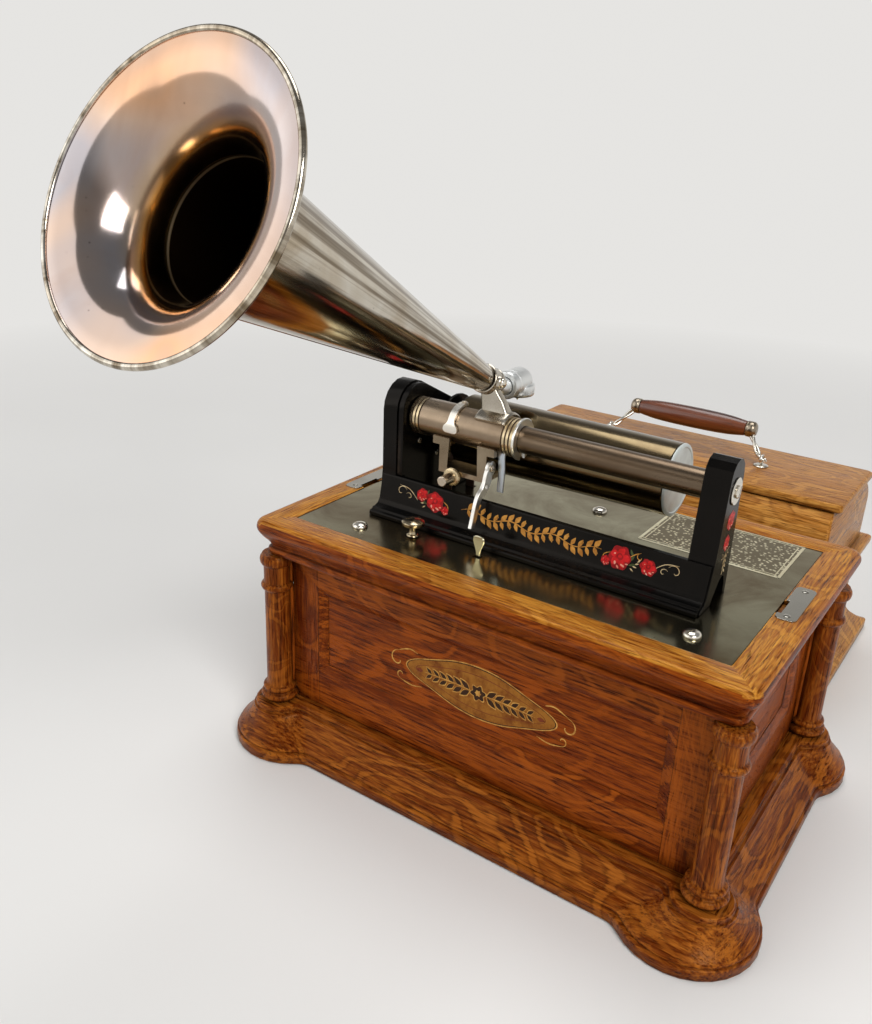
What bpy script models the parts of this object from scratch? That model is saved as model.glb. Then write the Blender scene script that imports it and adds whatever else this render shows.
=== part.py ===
# Spring-driven cylinder phonograph in an oak table case with turned corner columns.
# The origin is the middle of the case's underside: +X right, +Y back, +Z up, metres.
# The machine stands open: its lid stands on the same table close behind the case.

import math

import bmesh
import bpy
from mathutils import Matrix, Vector

for old_object in list(bpy.data.objects):
    bpy.data.objects.remove(old_object, do_unlink=True)

# Fits shared by the whole machine
clearance = 0.0003
slide_gap = 0.0004
overrun = 0.0050

# Bedplate, the nickelled plate that carries the works
bed_length = 0.2800
bed_depth = 0.1646
bed_thickness = 0.0022
bed_top = 0.1576
bed_corner = 0.0014

# Mitred top rim round the bedplate
rim_width = 0.0205
rim_height = 0.0235
rim_rise = 0.0006
rim_ledge = 0.0060
rim_corner_share = 0.45
rim_profile_shares = (
    (0.80, 1.00), (0.93, 0.965), (1.00, 0.87), (1.00, 0.76), (0.94, 0.62), (0.80, 0.44),
    (0.68, 0.30), (0.64, 0.21), (0.71, 0.17), (0.73, 0.10), (0.70, 0.03), (0.63, 0.00),
)

# Case walls and their sunk panels
wall_inset = 0.0180
wall_thickness = 0.0080
panel_thickness = 0.0050
panel_bevel = 0.0062
stile_width = 0.0215
side_stile_width = 0.0205
rail_low_width = 0.0252
rail_high_width = 0.0190

# Turned corner columns
column_reach = 0.0071
column_radius = 0.0083
column_foot_radius = 0.0128
column_profile_shares = (
    (0.000, 1.30), (0.012, 1.46), (0.030, 1.54), (0.052, 1.44), (0.062, 1.22), (0.080, 1.34),
    (0.098, 1.24), (0.108, 1.06), (0.140, 1.03), (0.765, 0.98), (0.775, 1.20), (0.790, 1.25),
    (0.805, 1.18), (0.815, 1.00), (0.925, 1.02), (0.940, 1.22), (0.965, 1.28), (0.985, 1.20),
    (1.000, 1.10),
)

# Lobed base moulding
base_height = 0.0274
base_flare = 0.0208
base_step = 0.0077
lobe_radius = 0.0406
lobe_shift_x = 0.0088
lobe_shift_y = 0.0049
lobe_top_radius = 0.0155
lobe_fillet = 0.0150
lobe_top_fillet = 0.0060
base_profile_shares = (
    (0.000, 0.94), (0.045, 1.00), (0.225, 1.00), (0.275, 0.96), (0.285, 0.90), (0.350, 0.885),
    (0.460, 0.66), (0.560, 0.49), (0.680, 0.325), (0.800, 0.19), (0.855, 0.155), (0.870, 0.075),
    (0.965, 0.065), (1.000, 0.00),
)
bottom_board_thickness = 0.0080
bottom_board_rest = 0.0070

# Lid clips let into the rim
clip_length = 0.0450
clip_width = 0.0112
clip_thickness = 0.0010
clip_corner = 0.0034
clip_shift = 0.0010
clip_inset = 0.0014
clip_sink = 0.0007
clip_notch_length = 0.0170
clip_notch_width = 0.0034
clip_notch_shift = -0.0075
clip_pocket_depth = 0.0060

# Iron frame: two standards joined by the front rail
frame_length = 0.2196
standard_thickness = 0.0148
right_height = 0.0804
right_dome_radius = 0.0100
right_waist = 0.0280
right_waist_front = -0.0312
foot_tip = -0.0450
foot_toe = 0.0012
foot_knee = -0.0354
foot_knee_height = 0.0124
foot_shares = ((0.57, 0.22), (0.85, 0.57), (1.00, 1.00))
arch_front = -0.0300
arch_rear = -0.0107
arch_height = 0.0131
arch_shares = (
    (0.00, 0.00), (0.01, 0.53), (0.12, 0.88), (0.27, 1.00), (0.48, 0.88), (0.72, 0.53),
    (0.90, 0.23), (1.00, 0.00),
)
rail_front = -0.0482
rail_rear = -0.0306
rail_height = 0.0246
rail_end_inset = 0.0008
rail_profile_shares = (
    (0.00, 0.000), (0.00, 0.090), (0.03, 0.122), (0.14, 0.134), (0.20, 0.180), (0.32, 0.187),
    (0.48, 0.230), (0.59, 0.345), (0.76, 0.960), (0.80, 1.000), (0.96, 1.000), (1.00, 0.975),
    (1.00, 0.000),
)
left_dome_radius = 0.0172
left_dome_height = 0.0664
left_rear_radius = 0.0178
left_rear_turn_deg = -15.0
left_rear_foot = 0.0560
left_rear_shares = ((0.10, 0.60), (0.28, 0.29), (0.62, 0.12), (1.00, 0.06), (1.00, 0.00))

# Feed tube, feed screw and mandrel axes, as distances from the bedplate's top and middle
tube_y = -0.0168
tube_rise = 0.0165
mandrel_y = 0.0224
mandrel_height = 0.0459
tube_radius = 0.0080
tube_bore = 0.0062
tube_slot_width = 0.0046
screw_radius = 0.0044
screw_journal = 0.0030
screw_pivot = 0.0020

# Gear train that drives the feed screw from the mandrel
feed_teeth = 18
idler_teeth = 16
tooth_backlash = 0.0007
gear_thickness = 0.0048
gear_side_gap = 0.0008
gear_pocket_margin = 0.0020
cover_thickness = 0.0040
cover_inset = 0.0010
bearing_depth = 0.0028
idler_pin = 0.0024
addendum_share = 0.90
dedendum_share = 1.25

# Mandrel that carries the wax cylinder
mandrel_end_gap = 0.0298
mandrel_radius_end = 0.0220
mandrel_radius_root = 0.0233
mandrel_wall = 0.0016
mandrel_cap_thickness = 0.0014
mandrel_cap_rim = 0.0010
mandrel_web = 0.0040
mandrel_plug = 0.0030
shaft_radius = 0.0038
pulley_radius = 0.0220
pulley_groove = 0.0130
pulley_width = 0.0118
pulley_flange = 0.0020
pulley_gap = 0.0018
belt_width = 0.0062
belt_thickness = 0.0013
belt_slot_room = 0.0012

# Right-hand end of the tube
socket_depth = 0.0090
plug_length = 0.0080
plug_stem = 0.0020
pivot_depth = 0.0050

# Carriage sleeve that slides and tips on the tube
sleeve_start = 0.0008
sleeve_length = 0.0760
sleeve_radius = 0.0118
sleeve_ring_pitch = 0.0025
sleeve_ring_count = 3
sleeve_flange_radius = 0.0127
sleeve_flange_length = 0.0017
sleeve_window_start = 0.0282
sleeve_window_length = 0.0170
sleeve_ring_depth = 0.0006
sleeve_window_depth = 0.0030
nut_length = 0.0130
nut_width = 0.0034
nut_reach = 0.0004
nut_start = 0.0412
nut_window_front = 0.0050
nut_window_rear = 0.0034
slot_inset = 0.0050

# Yoke under the sleeve, with the half nut, its pin and the levers
yoke_start = 0.0202
yoke_width = 0.0440
yoke_tab_width = 0.0120
yoke_tab_depth = 0.0050
yoke_leg_inset = 0.0050
yoke_shelf_rear = -0.0140
yoke_tab_thickness = 0.0030
yoke_tab_reach = 0.0040
yoke_leg_width = 0.0060
yoke_leg_thickness = 0.0026
yoke_front = -0.0302
yoke_bar_drop = 0.0252
yoke_bar_thickness = 0.0030
yoke_tab_drop = 0.0059
pin_start = 0.0360
pin_drop = 0.0293
pin_radius = 0.0034
pin_front = -0.0428
pin_collar_radius = 0.0056
pin_collar_length = 0.0022
pin_shank = 0.0014
pin_boss = 0.0042
hook_start = 0.0604
hook_thickness = 0.0024
hook_pivot_y = -0.0289
hook_pivot_drop = 0.0184
hook_eye = 0.0047
hook_reach = 0.0182
hook_drop = 0.0330
hook_half_width = 0.0038
hook_boss_share = 0.04
hook_path_shares = (
    (0.00, 0.00, 1.00), (0.21, 0.24, 1.00), (0.62, 0.44, 0.72), (0.84, 0.73, 0.60), (1.00, 1.00, 0.56),
)
hook_stud_radius = 0.0012
paddle_start = 0.0322
paddle_radius = 0.0050
paddle_lift = 0.0002
paddle_stem_width = 0.0046
paddle_thickness = 0.0012
paddle_start_deg = 188.0
paddle_end_deg = 75.0
guide_start = 0.0670
guide_width = 0.0050
guide_thickness = 0.0016
guide_y = -0.0250
guide_top_drop = 0.0054
guide_foot_drop = 0.0334

# Horn with its clamp and the reproducer
horn_inset = 0.0491
horn_y = -0.0120
horn_lift = 0.0049
horn_azimuth_deg = 0.8
horn_elevation_deg = 26.0
horn_length = 0.2690
horn_throat = 0.2345
horn_end_radius = 0.0058
horn_cone_radius = 0.0062
horn_throat_radius = 0.0309
horn_bell_radius = 0.0640
horn_wall = 0.0006
horn_roll = 0.0015
horn_collar = 0.0140
horn_flare_steps = 8
horn_bead_steps = 6
clamp_bore = 0.0061
clamp_wall = 0.0027
clamp_length = 0.0125
clamp_boss = 0.0040
clamp_boss_height = 0.0014
clamp_neck_reach = 0.0027
clamp_neck_length = 0.0210
clamp_neck_depth = 0.0064
clamp_neck_thickness = 0.0084
clamp_centre = 0.0060
clamp_screw_hole = 0.0013
clamp_saddle = 0.0024
clamp_saddle_deg = 35.0
clamp_neck_lean = 0.0014
reproducer_y = 0.0195
reproducer_radius = 0.0105
reproducer_thickness = 0.0078
stylus_gap = 0.0046
reproducer_edge = 0.0010
arm_radius = 0.0055
arm_lift = 0.0088
arm_level_y = -0.0005
arm_end_y = 0.0100
boss_radius = 0.0086
boss_end_share = 0.86
arm_bend_share = 0.45
boss_front = 0.0030
boss_rear = 0.0270
boss_bore_end = 0.0110
stylus_radius = 0.0010
stylus_length = 0.0034

# Controls on the bedplate
knob_start = 0.0088
knob_y = -0.0580
knob_radius = 0.0070
knob_height = 0.0116
knob_stem = 0.0017
knob_shank = 0.0080
knob_profile_shares = (
    (0.030, 0.62), (0.10, 0.62), (0.17, 0.50), (0.34, 0.40), (0.52, 0.46), (0.62, 0.80),
    (0.68, 0.97), (0.76, 1.00), (0.86, 0.99), (0.95, 0.88), (1.00, 0.60),
)
lever_inset = 0.0045
lever_y = -0.0572
lever_height = 0.0132
lever_width = 0.0066
lever_thickness = 0.0011
lever_stem_width = 0.0026
lever_drop = 0.0046
lever_tail = 0.0030
lever_pin = 0.0010
lever_slot_half = 0.0024
lug_thickness = 0.0015
lug_gap = 0.0012
lug_height = 0.0070
lug_half_depth = 0.0030
lever_spoon_shares = (
    (0.20, 0.00), (0.24, 0.42), (0.38, 0.56), (0.66, 0.64), (0.96, 0.76), (1.00, 0.86),
    (0.86, 0.96), (0.45, 1.00),
)

# Spring motor hung under the bedplate
motor_start = 0.0054
motor_length = 0.0600
motor_plate = 0.0024
motor_front = -0.0500
motor_rear = 0.0590
motor_floor = 0.0300
motor_flange = 0.0100
motor_corner = 0.0050
motor_module = 0.0015
motor_backlash = 0.0005
barrel_y = -0.0240
barrel_z = 0.0720
barrel_radius = 0.0275
barrel_length = 0.0340
barrel_teeth = 42
barrel_pinion_teeth = 11
second_teeth = 33
second_pinion_teeth = 10
drive_z = 0.0900
governor_teeth = 30
governor_pinion_teeth = 10
governor_angle_deg = 48.0
arbor_radius = 0.0030
arbor_end = 0.0020
wheel_thickness = 0.0040
wheel_gap = 0.0060
winder_radius = 0.0040
winder_reach = 0.0030
escutcheon_radius = 0.0105
escutcheon_thickness = 0.0012
governor_ball = 0.0042
governor_swing = 0.0110
governor_collar = 0.0046
governor_arm = 0.0014
governor_length = 0.0200
pillar_radius = 0.0040
pillar_inset = 0.0060
pillar_lift = 0.0090
pillar_tenon = 0.0020

# Lid standing behind the case
lid_x = -0.0084
lid_y = 0.2310
lid_height = 0.1520
lid_base_half_x = 0.1505
lid_base_half_y = 0.0930
lid_wall_half_x = 0.1350
lid_wall_half_y = 0.0640
lid_band_reach = 0.0080
lid_band_low = 0.0820
lid_band_high = 0.0920
lid_wall_thickness = 0.0060
lid_base_rise = 0.0300
lid_crown_rise = 0.0220
lid_board_thickness = 0.0062
lid_board_half_x = 0.1372
lid_board_half_y = 0.0480
lid_board_nose = 0.0016
lid_corner = 0.0040
lid_base_shares = (
    (0.00, 0.98), (0.03, 1.00), (0.22, 1.00), (0.27, 0.92), (0.45, 0.58), (0.65, 0.30),
    (0.84, 0.12), (0.88, 0.05), (1.00, 0.05), (1.02, 0.00),
)
lid_band_shares = (
    (0.00, 0.00), (0.06, 0.45), (0.30, 0.72), (0.42, 1.00), (0.82, 1.00), (0.95, 0.88), (1.00, 0.00),
)
lid_crown_shares = (
    (0.00, 0.00), (0.22, 0.06), (0.45, 0.20), (0.66, 0.42), (0.84, 0.68), (1.00, 1.00),
)
lid_crown_inset = 0.0160
lid_crown_end_inset = 0.0030

# Carrying handle on the lid
eye_reach = 0.0640
eye_height = 0.0050
eye_ring = 0.0030
eye_wire = 0.0011
eye_plate_radius = 0.0055
eye_plate_thickness = 0.0010
bail_wire = 0.0013
bail_length = 0.0225
bail_overhang = 0.0030
bail_path_shares = (
    (1.00, 0.00), (0.80, 0.00), (0.68, 0.07), (0.18, 0.86), (0.10, 0.97), (0.00, 1.00),
)
grip_half = 0.0400
grip_radius_mid = 0.0084
grip_radius_end = 0.0056
grip_shares = (
    (-1.00, 0.00), (-0.90, 0.20), (-0.70, 0.62), (-0.40, 0.92), (0.00, 1.00), (0.40, 0.92),
    (0.70, 0.62), (0.90, 0.20), (1.00, 0.00),
)
ferrule_length = 0.0065
ferrule_radius = 0.0060
handle_lean_deg = 38.0

# Facets
round_segments = 24
small_segments = 12
column_segments = 16
horn_segments = 36
corner_segments = 3
lobe_segments = 7
fillet_segments = 2

# Derived sizes
rim_top = bed_top + rim_rise
rim_bottom = rim_top - rim_height
rim_half_x = bed_length / 2 + rim_width
rim_half_y = bed_depth / 2 + rim_width
wall_half_x = rim_half_x - wall_inset
wall_half_y = rim_half_y - wall_inset
inner_half_x = wall_half_x - wall_thickness
inner_half_y = wall_half_y - wall_thickness
wall_low = base_height + clearance
wall_high = rim_bottom - clearance
panel_low = base_height + rail_low_width
panel_high = rim_bottom - rail_high_width
column_x = wall_half_x + column_reach
column_y = wall_half_y + column_reach
column_height = rim_bottom - base_height - 2 * clearance
frame_right = frame_length / 2
frame_left = -frame_length / 2
frame_inner_right = frame_right - standard_thickness
cover_right = frame_left + standard_thickness
cover_left = cover_right - cover_thickness
mandrel_z = bed_top + mandrel_height
tube_z = mandrel_z + tube_rise
reproducer_low = mandrel_z + mandrel_radius_root + stylus_gap + stylus_length
arm_z = reproducer_low + arm_lift
horn_start_z = arm_z + horn_lift
axis_run = math.hypot(mandrel_y - tube_y, mandrel_z - tube_z)
feed_module = axis_run / (feed_teeth + idler_teeth)
axis_slope = math.atan2(mandrel_z - tube_z, mandrel_y - tube_y)
idler_y = (tube_y + mandrel_y) / 2
idler_z = (tube_z + mandrel_z) / 2
feed_tip = feed_module * (feed_teeth / 2 + addendum_share)
gear_right = cover_left - gear_side_gap
gear_left = gear_right - gear_thickness
pocket_left = gear_left - gear_side_gap
tube_left = cover_left + clearance
tube_right = frame_inner_right + socket_depth
pulley_left = cover_right + pulley_gap
pulley_right = pulley_left + pulley_width
pulley_middle = (pulley_left + pulley_right) / 2
mandrel_left = pulley_right + clearance
mandrel_end_x = frame_inner_right - mandrel_end_gap
sleeve_left = cover_right + sleeve_start
sleeve_right = sleeve_left + sleeve_length
sleeve_window_left = sleeve_left + sleeve_window_start
sleeve_window_right = sleeve_window_left + sleeve_window_length
nut_x = sleeve_left + nut_start
slot_left = cover_right + slot_inset
slot_right = frame_inner_right - slot_inset
yoke_left = sleeve_left + yoke_start
yoke_right = yoke_left + yoke_width
pin_x = sleeve_left + pin_start
hook_x = sleeve_left + hook_start
paddle_x = sleeve_left + paddle_start
guide_x = sleeve_left + guide_start
horn_x = sleeve_left + horn_inset
clamp_neck_left = horn_x - clamp_neck_reach
clamp_neck_right = clamp_neck_left + clamp_neck_length
motor_left = pulley_right + motor_start
motor_right = motor_left + motor_length
knob_x = motor_left + knob_start
lever_x = motor_right - lever_inset
sleeve_bore = tube_radius + slide_gap
drive_y = mandrel_y
bed_underside = bed_top - bed_thickness
bed_rest = bed_top + clearance
dome_z = bed_top + left_dome_height
panel_lip = wall_thickness - panel_thickness
plug_left = tube_right - plug_length
nut_left = nut_x - nut_length / 2
nut_right = nut_x + nut_length / 2
nickel = ((0.70, 0.66, 0.58), 0.22, 1.0)
steel = ((0.55, 0.54, 0.52), 0.30, 1.0)
aluminium = ((0.80, 0.81, 0.80), 0.35, 1.0)
brass = ((0.74, 0.56, 0.26), 0.30, 1.0)
black_iron = ((0.012, 0.012, 0.013), 0.18, 0.0)
oak = ((0.42, 0.17, 0.045), 0.35, 0.0)
oak_light = ((0.55, 0.27, 0.08), 0.35, 0.0)
pine = ((0.50, 0.35, 0.18), 0.65, 0.0)
walnut = ((0.22, 0.06, 0.02), 0.32, 0.0)
leather = ((0.09, 0.05, 0.03), 0.70, 0.0)
whitish = ((0.74, 0.78, 0.76), 0.40, 0.6)


# Making objects

def finish(name, bm, look, pivot=None):
    """Turn a bmesh into a named object with its own material, origin on the pivot."""
    bmesh.ops.recalc_face_normals(bm, faces=bm.faces)
    mesh = bpy.data.meshes.new(name)
    bm.to_mesh(mesh)
    bm.free()
    mesh.shade_smooth()
    mesh.set_sharp_from_angle(angle=math.radians(35.0))
    thing = bpy.data.objects.new(name, mesh)
    bpy.context.scene.collection.objects.link(thing)
    if pivot is not None:
        mesh.transform(Matrix.Translation(-Vector(pivot)))
        thing.location = Vector(pivot)
    if look is not None:
        colour, roughness, metallic = look
        material = bpy.data.materials.new(name)
        material.use_nodes = True
        shader = material.node_tree.nodes["Principled BSDF"]
        shader.inputs["Base Color"].default_value = (*colour, 1.0)
        shader.inputs["Roughness"].default_value = roughness
        shader.inputs["Metallic"].default_value = metallic
        mesh.materials.append(material)
    return thing


def helper(name, bm):
    """A hidden shape that cuts or joins another object."""
    thing = finish(name, bm, None)
    thing.hide_render = True
    thing.display_type = "WIRE"
    return thing


def combine(thing, other, operation):
    modifier = thing.modifiers.new(other.name, "BOOLEAN")
    modifier.operation = operation
    modifier.solver = "EXACT"
    modifier.object = other
    return thing


def cut(thing, *others):
    for other in others:
        combine(thing, other, "DIFFERENCE")
    return thing


def join(thing, *others):
    for other in others:
        combine(thing, other, "UNION")
    return thing


def axis_empty(name, place, *things):
    """An empty on a joint's axis that carries the things that move about it."""
    empty = bpy.data.objects.new(name, None)
    bpy.context.scene.collection.objects.link(empty)
    empty.location = Vector(place)
    for thing in things:
        thing.parent = empty
        thing.location = thing.location - Vector(place)
    return empty


# Making shapes

def add_ring(bm, points):
    return [bm.verts.new(point) for point in points]


def bridge(bm, first, second):
    count = len(first)
    for i in range(count):
        j = (i + 1) % count
        bm.faces.new((first[i], first[j], second[j], second[i]))


def loft(bm, rings, closed=False):
    """Skin a stack of rings with equal counts; close the stack on itself or cap its ends."""
    loops = [add_ring(bm, ring) for ring in rings]
    for first, second in zip(loops, loops[1:]):
        bridge(bm, first, second)
    if closed:
        bridge(bm, loops[-1], loops[0])
    else:
        bm.faces.new(loops[0])
        bm.faces.new(loops[-1])
    return bm


def box(x0, x1, y0, y1, z0, z1, bm=None):
    bm = bm or bmesh.new()
    ring = ((x0, y0), (x1, y0), (x1, y1), (x0, y1))
    return loft(bm, [[(x, y, z) for x, y in ring] for z in (z0, z1)])


def along_x(outline, x0, x1, bm=None):
    """Extrude an outline of (y, z) points along X."""
    return loft(bm or bmesh.new(), [[(x, y, z) for y, z in outline] for x in (x0, x1)])


def along_y(outline, y0, y1, bm=None):
    """Extrude an outline of (x, z) points along Y."""
    return loft(bm or bmesh.new(), [[(x, y, z) for x, z in outline] for y in (y0, y1)])


def arc(cx, cy, radius, start_deg, end_deg, steps):
    points = []
    for i in range(steps + 1):
        angle = math.radians(start_deg + (end_deg - start_deg) * i / steps)
        points.append((cx + radius * math.cos(angle), cy + radius * math.sin(angle)))
    return points


def rounded_rectangle(half_x, half_y, radius, steps=corner_segments):
    points = []
    for turn, (sx, sy) in enumerate(((1, 1), (-1, 1), (-1, -1), (1, -1))):
        cx = sx * (half_x - radius)
        cy = sy * (half_y - radius)
        points += arc(cx, cy, radius, 90.0 * turn, 90.0 * turn + 90.0, steps)
    return points


def axis_frame(origin, direction):
    """A frame whose local X runs along the direction."""
    x_axis = Vector(direction).normalized()
    guide = Vector((0, 0, 1)) if abs(x_axis.z) < 0.9 else Vector((0, 1, 0))
    y_axis = guide.cross(x_axis).normalized()
    z_axis = x_axis.cross(y_axis)
    frame = Matrix((x_axis, y_axis, z_axis)).transposed().to_4x4()
    frame.translation = Vector(origin)
    return frame


def revolve(profile, frame, segments, bm=None):
    """Turn (distance along the axis, radius) points; a ring profile closes on itself."""
    bm = bm or bmesh.new()
    loops = []
    for distance, radius in profile:
        if radius == 0:
            loops.append([bm.verts.new(frame @ Vector((distance, 0, 0)))])
            continue
        ring = []
        for i in range(segments):
            angle = 2 * math.pi * i / segments
            local = Vector((distance, radius * math.cos(angle), radius * math.sin(angle)))
            ring.append(bm.verts.new(frame @ local))
        loops.append(ring)
    solid = len(loops[0]) == 1 and len(loops[-1]) == 1
    pairs = list(zip(loops, loops[1:]))
    if not solid:
        pairs.append((loops[-1], loops[0]))
    for first, second in pairs:
        for i in range(segments):
            j = (i + 1) % segments
            if len(first) == 1:
                bm.faces.new((first[0], second[i], second[j]))
            elif len(second) == 1:
                bm.faces.new((first[i], first[j], second[0]))
            else:
                bm.faces.new((first[i], first[j], second[j], second[i]))
    return bm


def rod(start, end, radius, segments, bm=None):
    start = Vector(start)
    end = Vector(end)
    length = (end - start).length
    profile = ((0, 0), (0, radius), (length, radius), (length, 0))
    return revolve(profile, axis_frame(start, end - start), segments, bm)


def sweep(path, radii, segments, bm=None):
    """Skin a round bar of changing radius along a bent path."""
    path = [Vector(point) for point in path]
    rings = []
    side = None
    for i, point in enumerate(path):
        ahead = path[min(i + 1, len(path) - 1)] - path[max(i - 1, 0)]
        ahead.normalize()
        if side is None:
            guide = Vector((0, 0, 1)) if abs(ahead.z) < 0.9 else Vector((1, 0, 0))
            side = guide.cross(ahead).normalized()
        else:
            side = (side - ahead * side.dot(ahead)).normalized()
        other = ahead.cross(side)
        ring = []
        for k in range(segments):
            angle = 2 * math.pi * k / segments
            ring.append(point + radii[i] * (math.cos(angle) * side + math.sin(angle) * other))
        rings.append(ring)
    return loft(bm or bmesh.new(), rings)


def gear_outline(teeth, module, backlash, turn):
    """Involute-width teeth with straight flanks, one tooth centred on the turn angle."""
    pressure = math.radians(20.0)
    pitch = teeth * module / 2
    base = pitch * math.cos(pressure)
    half_pitch = (math.pi * module / 2 - backlash) / (2 * pitch)

    def half_width(radius):
        if radius <= base:
            return half_pitch + math.tan(pressure) - pressure
        spread = math.acos(base / radius)
        return half_pitch + (math.tan(pressure) - pressure) - (math.tan(spread) - spread)

    root = pitch - dedendum_share * module
    tip = pitch + addendum_share * module
    points = []
    for k in range(teeth):
        centre = turn + 2 * math.pi * k / teeth
        for radius, side in ((root, -1), (tip, -1), (tip, 1), (root, 1)):
            angle = centre + side * half_width(radius)
            points.append((radius * math.cos(angle), radius * math.sin(angle)))
    return points


def gear_solid(teeth, module, backlash, turn, y, z, x0, x1):
    """A spur gear about an X axis through (y, z)."""
    outline = [(y + a, z + b) for a, b in gear_outline(teeth, module, backlash, turn)]
    return along_x(outline, x0, x1)


def hole_x(name, y, z, x0, x1, radius):
    """A hidden round cutter along X."""
    return helper(name, rod((x0, y, z), (x1, y, z), radius, small_segments))


def mesh_turn(teeth, other_teeth, other_turn, direction):
    """Turn that sets this gear's tooth gap on the other's tooth, seen from the other gear."""
    phase = (direction - other_turn) * other_teeth / teeth
    return direction + math.pi - math.pi / teeth + phase


# Case

def lobed_outline(share):
    """Outline of the base at a share of its flare: straight sides with round corner lobes."""
    edge_x = wall_half_x + base_step + share * base_flare
    edge_y = wall_half_y + base_step + share * base_flare
    cx = column_x - share * lobe_shift_x
    cy = column_y - share * lobe_shift_y
    radius = lobe_top_radius + share * (lobe_radius - lobe_top_radius)
    fillet = lobe_top_fillet + share * (lobe_fillet - lobe_top_fillet)
    reach = radius + fillet
    side_x = edge_x + fillet
    side_y = cy - math.sqrt(reach ** 2 - (side_x - cx) ** 2)
    end_y = edge_y + fillet
    end_x = cx - math.sqrt(reach ** 2 - (end_y - cy) ** 2)
    side_turn = math.degrees(math.atan2(cy - side_y, cx - side_x))
    end_turn = math.degrees(math.atan2(cy - end_y, cx - end_x))
    quarter = arc(side_x, side_y, fillet, 180.0, side_turn, fillet_segments)
    quarter += arc(cx, cy, radius, side_turn - 180.0, end_turn + 180.0, lobe_segments)[1:]
    quarter += arc(end_x, end_y, fillet, end_turn, -90.0, fillet_segments)[1:]
    outline = list(quarter)
    outline += [(-x, y) for x, y in reversed(quarter)]
    outline += [(-x, -y) for x, y in quarter]
    outline += [(x, -y) for x, y in reversed(quarter)]
    return outline


def base_moulding():
    rings = []
    for height, flare in base_profile_shares:
        z = height * base_height
        rings.append([(x, y, z) for x, y in lobed_outline(flare)])
    base = finish("base_moulding", loft(bmesh.new(), rings), oak)
    rest_x = inner_half_x + bottom_board_rest
    rest_y = inner_half_y + bottom_board_rest
    rest_z = bottom_board_thickness + clearance
    well = box(-inner_half_x, inner_half_x, -inner_half_y, inner_half_y, rest_z / 2,
               base_height + overrun)
    rebate = box(-rest_x, rest_x, -rest_y, rest_y, -overrun, rest_z)
    return cut(base, helper("base_well", well), helper("base_rebate", rebate))


def bottom_board():
    half_x = inner_half_x + bottom_board_rest - clearance
    half_y = inner_half_y + bottom_board_rest - clearance
    return finish("bottom_board", box(-half_x, half_x, -half_y, half_y, 0, bottom_board_thickness),
                  pine)


def column_profile(extra):
    profile = []
    for height, radius in column_profile_shares:
        profile.append((height * column_height, radius * column_radius + extra))
    return profile


def column_solid(sx, sy, profile):
    foot = (sx * column_x, sy * column_y, wall_low)
    return revolve(profile, axis_frame(foot, (0, 0, 1)), column_segments)


def column(name, sx, sy):
    profile = [(0, 0)] + column_profile(0) + [(column_height, 0)]
    return finish(name, column_solid(sx, sy, profile), oak_light)


def column_cutter(name, sx, sy):
    inner = column_profile(clearance)
    profile = [(-overrun, 0), (-overrun, inner[0][1])] + inner
    profile += [(column_height + overrun, inner[-1][1]), (column_height + overrun, 0)]
    return helper(name, column_solid(sx, sy, profile))


def wall_spot(side, along, depth, z):
    """A point on a case side: along the wall, deep from its outer face."""
    axis, sign = side
    if axis == "y":
        return (along, sign * (wall_half_y - depth), z)
    return (sign * (wall_half_x - depth), along, z)


def panel_half(side):
    return wall_half_x - stile_width if side[0] == "y" else wall_half_y - side_stile_width


def panel_ring(side, depth, inset):
    half = panel_half(side) - inset
    low = panel_low + inset
    high = panel_high - inset
    corners = ((-half, low), (half, low), (half, high), (-half, high))
    return [wall_spot(side, along, depth, z) for along, z in corners]


def panel_cutter(name, side):
    """Opening with a bevelled lip outside and a rebate for the panel inside."""
    steps = (
        (-overrun, 0), (0, 0), (panel_lip, panel_bevel), (panel_lip, -clearance),
        (wall_thickness + overrun, -clearance),
    )
    rings = [panel_ring(side, depth, inset) for depth, inset in steps]
    return helper(name, loft(bmesh.new(), rings))


sides = {
    "panel_front": ("y", -1), "panel_back": ("y", 1), "panel_left": ("x", -1),
    "panel_right": ("x", 1),
}
corners = {
    "column_front_left": (-1, -1), "column_front_right": (1, -1), "column_back_left": (-1, 1),
    "column_back_right": (1, 1),
}


def case_frame():
    frame = finish("case_frame", box(-wall_half_x, wall_half_x, -wall_half_y, wall_half_y,
                                     wall_low, wall_high), oak)
    hollow = box(-inner_half_x, inner_half_x, -inner_half_y, inner_half_y,
                 wall_low - overrun, wall_high + overrun)
    cut(frame, helper("case_hollow", hollow))
    for name, side in sides.items():
        cut(frame, panel_cutter(name + "_opening", side))
    for name, (sx, sy) in corners.items():
        cut(frame, column_cutter(name + "_recess", sx, sy))
    return frame


def panel(name, side):
    depths = (panel_lip + clearance, wall_thickness)
    rings = [panel_ring(side, depth, 0) for depth in depths]
    board = finish(name, loft(bmesh.new(), rings), oak_light)
    if name == "panel_left":
        cut(board, hole_x("winder_hole", barrel_y, barrel_z, -wall_half_x - overrun,
                          -wall_half_x + wall_thickness + overrun, winder_radius + clearance))
    return board


def clip_outline(extra, sx):
    half_width = clip_width / 2 + extra
    half_length = clip_length / 2 + extra
    middle = sx * (bed_length / 2 + clip_inset + clip_width / 2)
    ring = rounded_rectangle(half_width, half_length, clip_corner + extra)
    return [(middle + x, clip_shift + y) for x, y in ring]


def clip_prism(extra, sx, z0, z1):
    ring = clip_outline(extra, sx)
    return loft(bmesh.new(), [[(x, y, z) for x, y in ring] for z in (z0, z1)])


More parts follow.
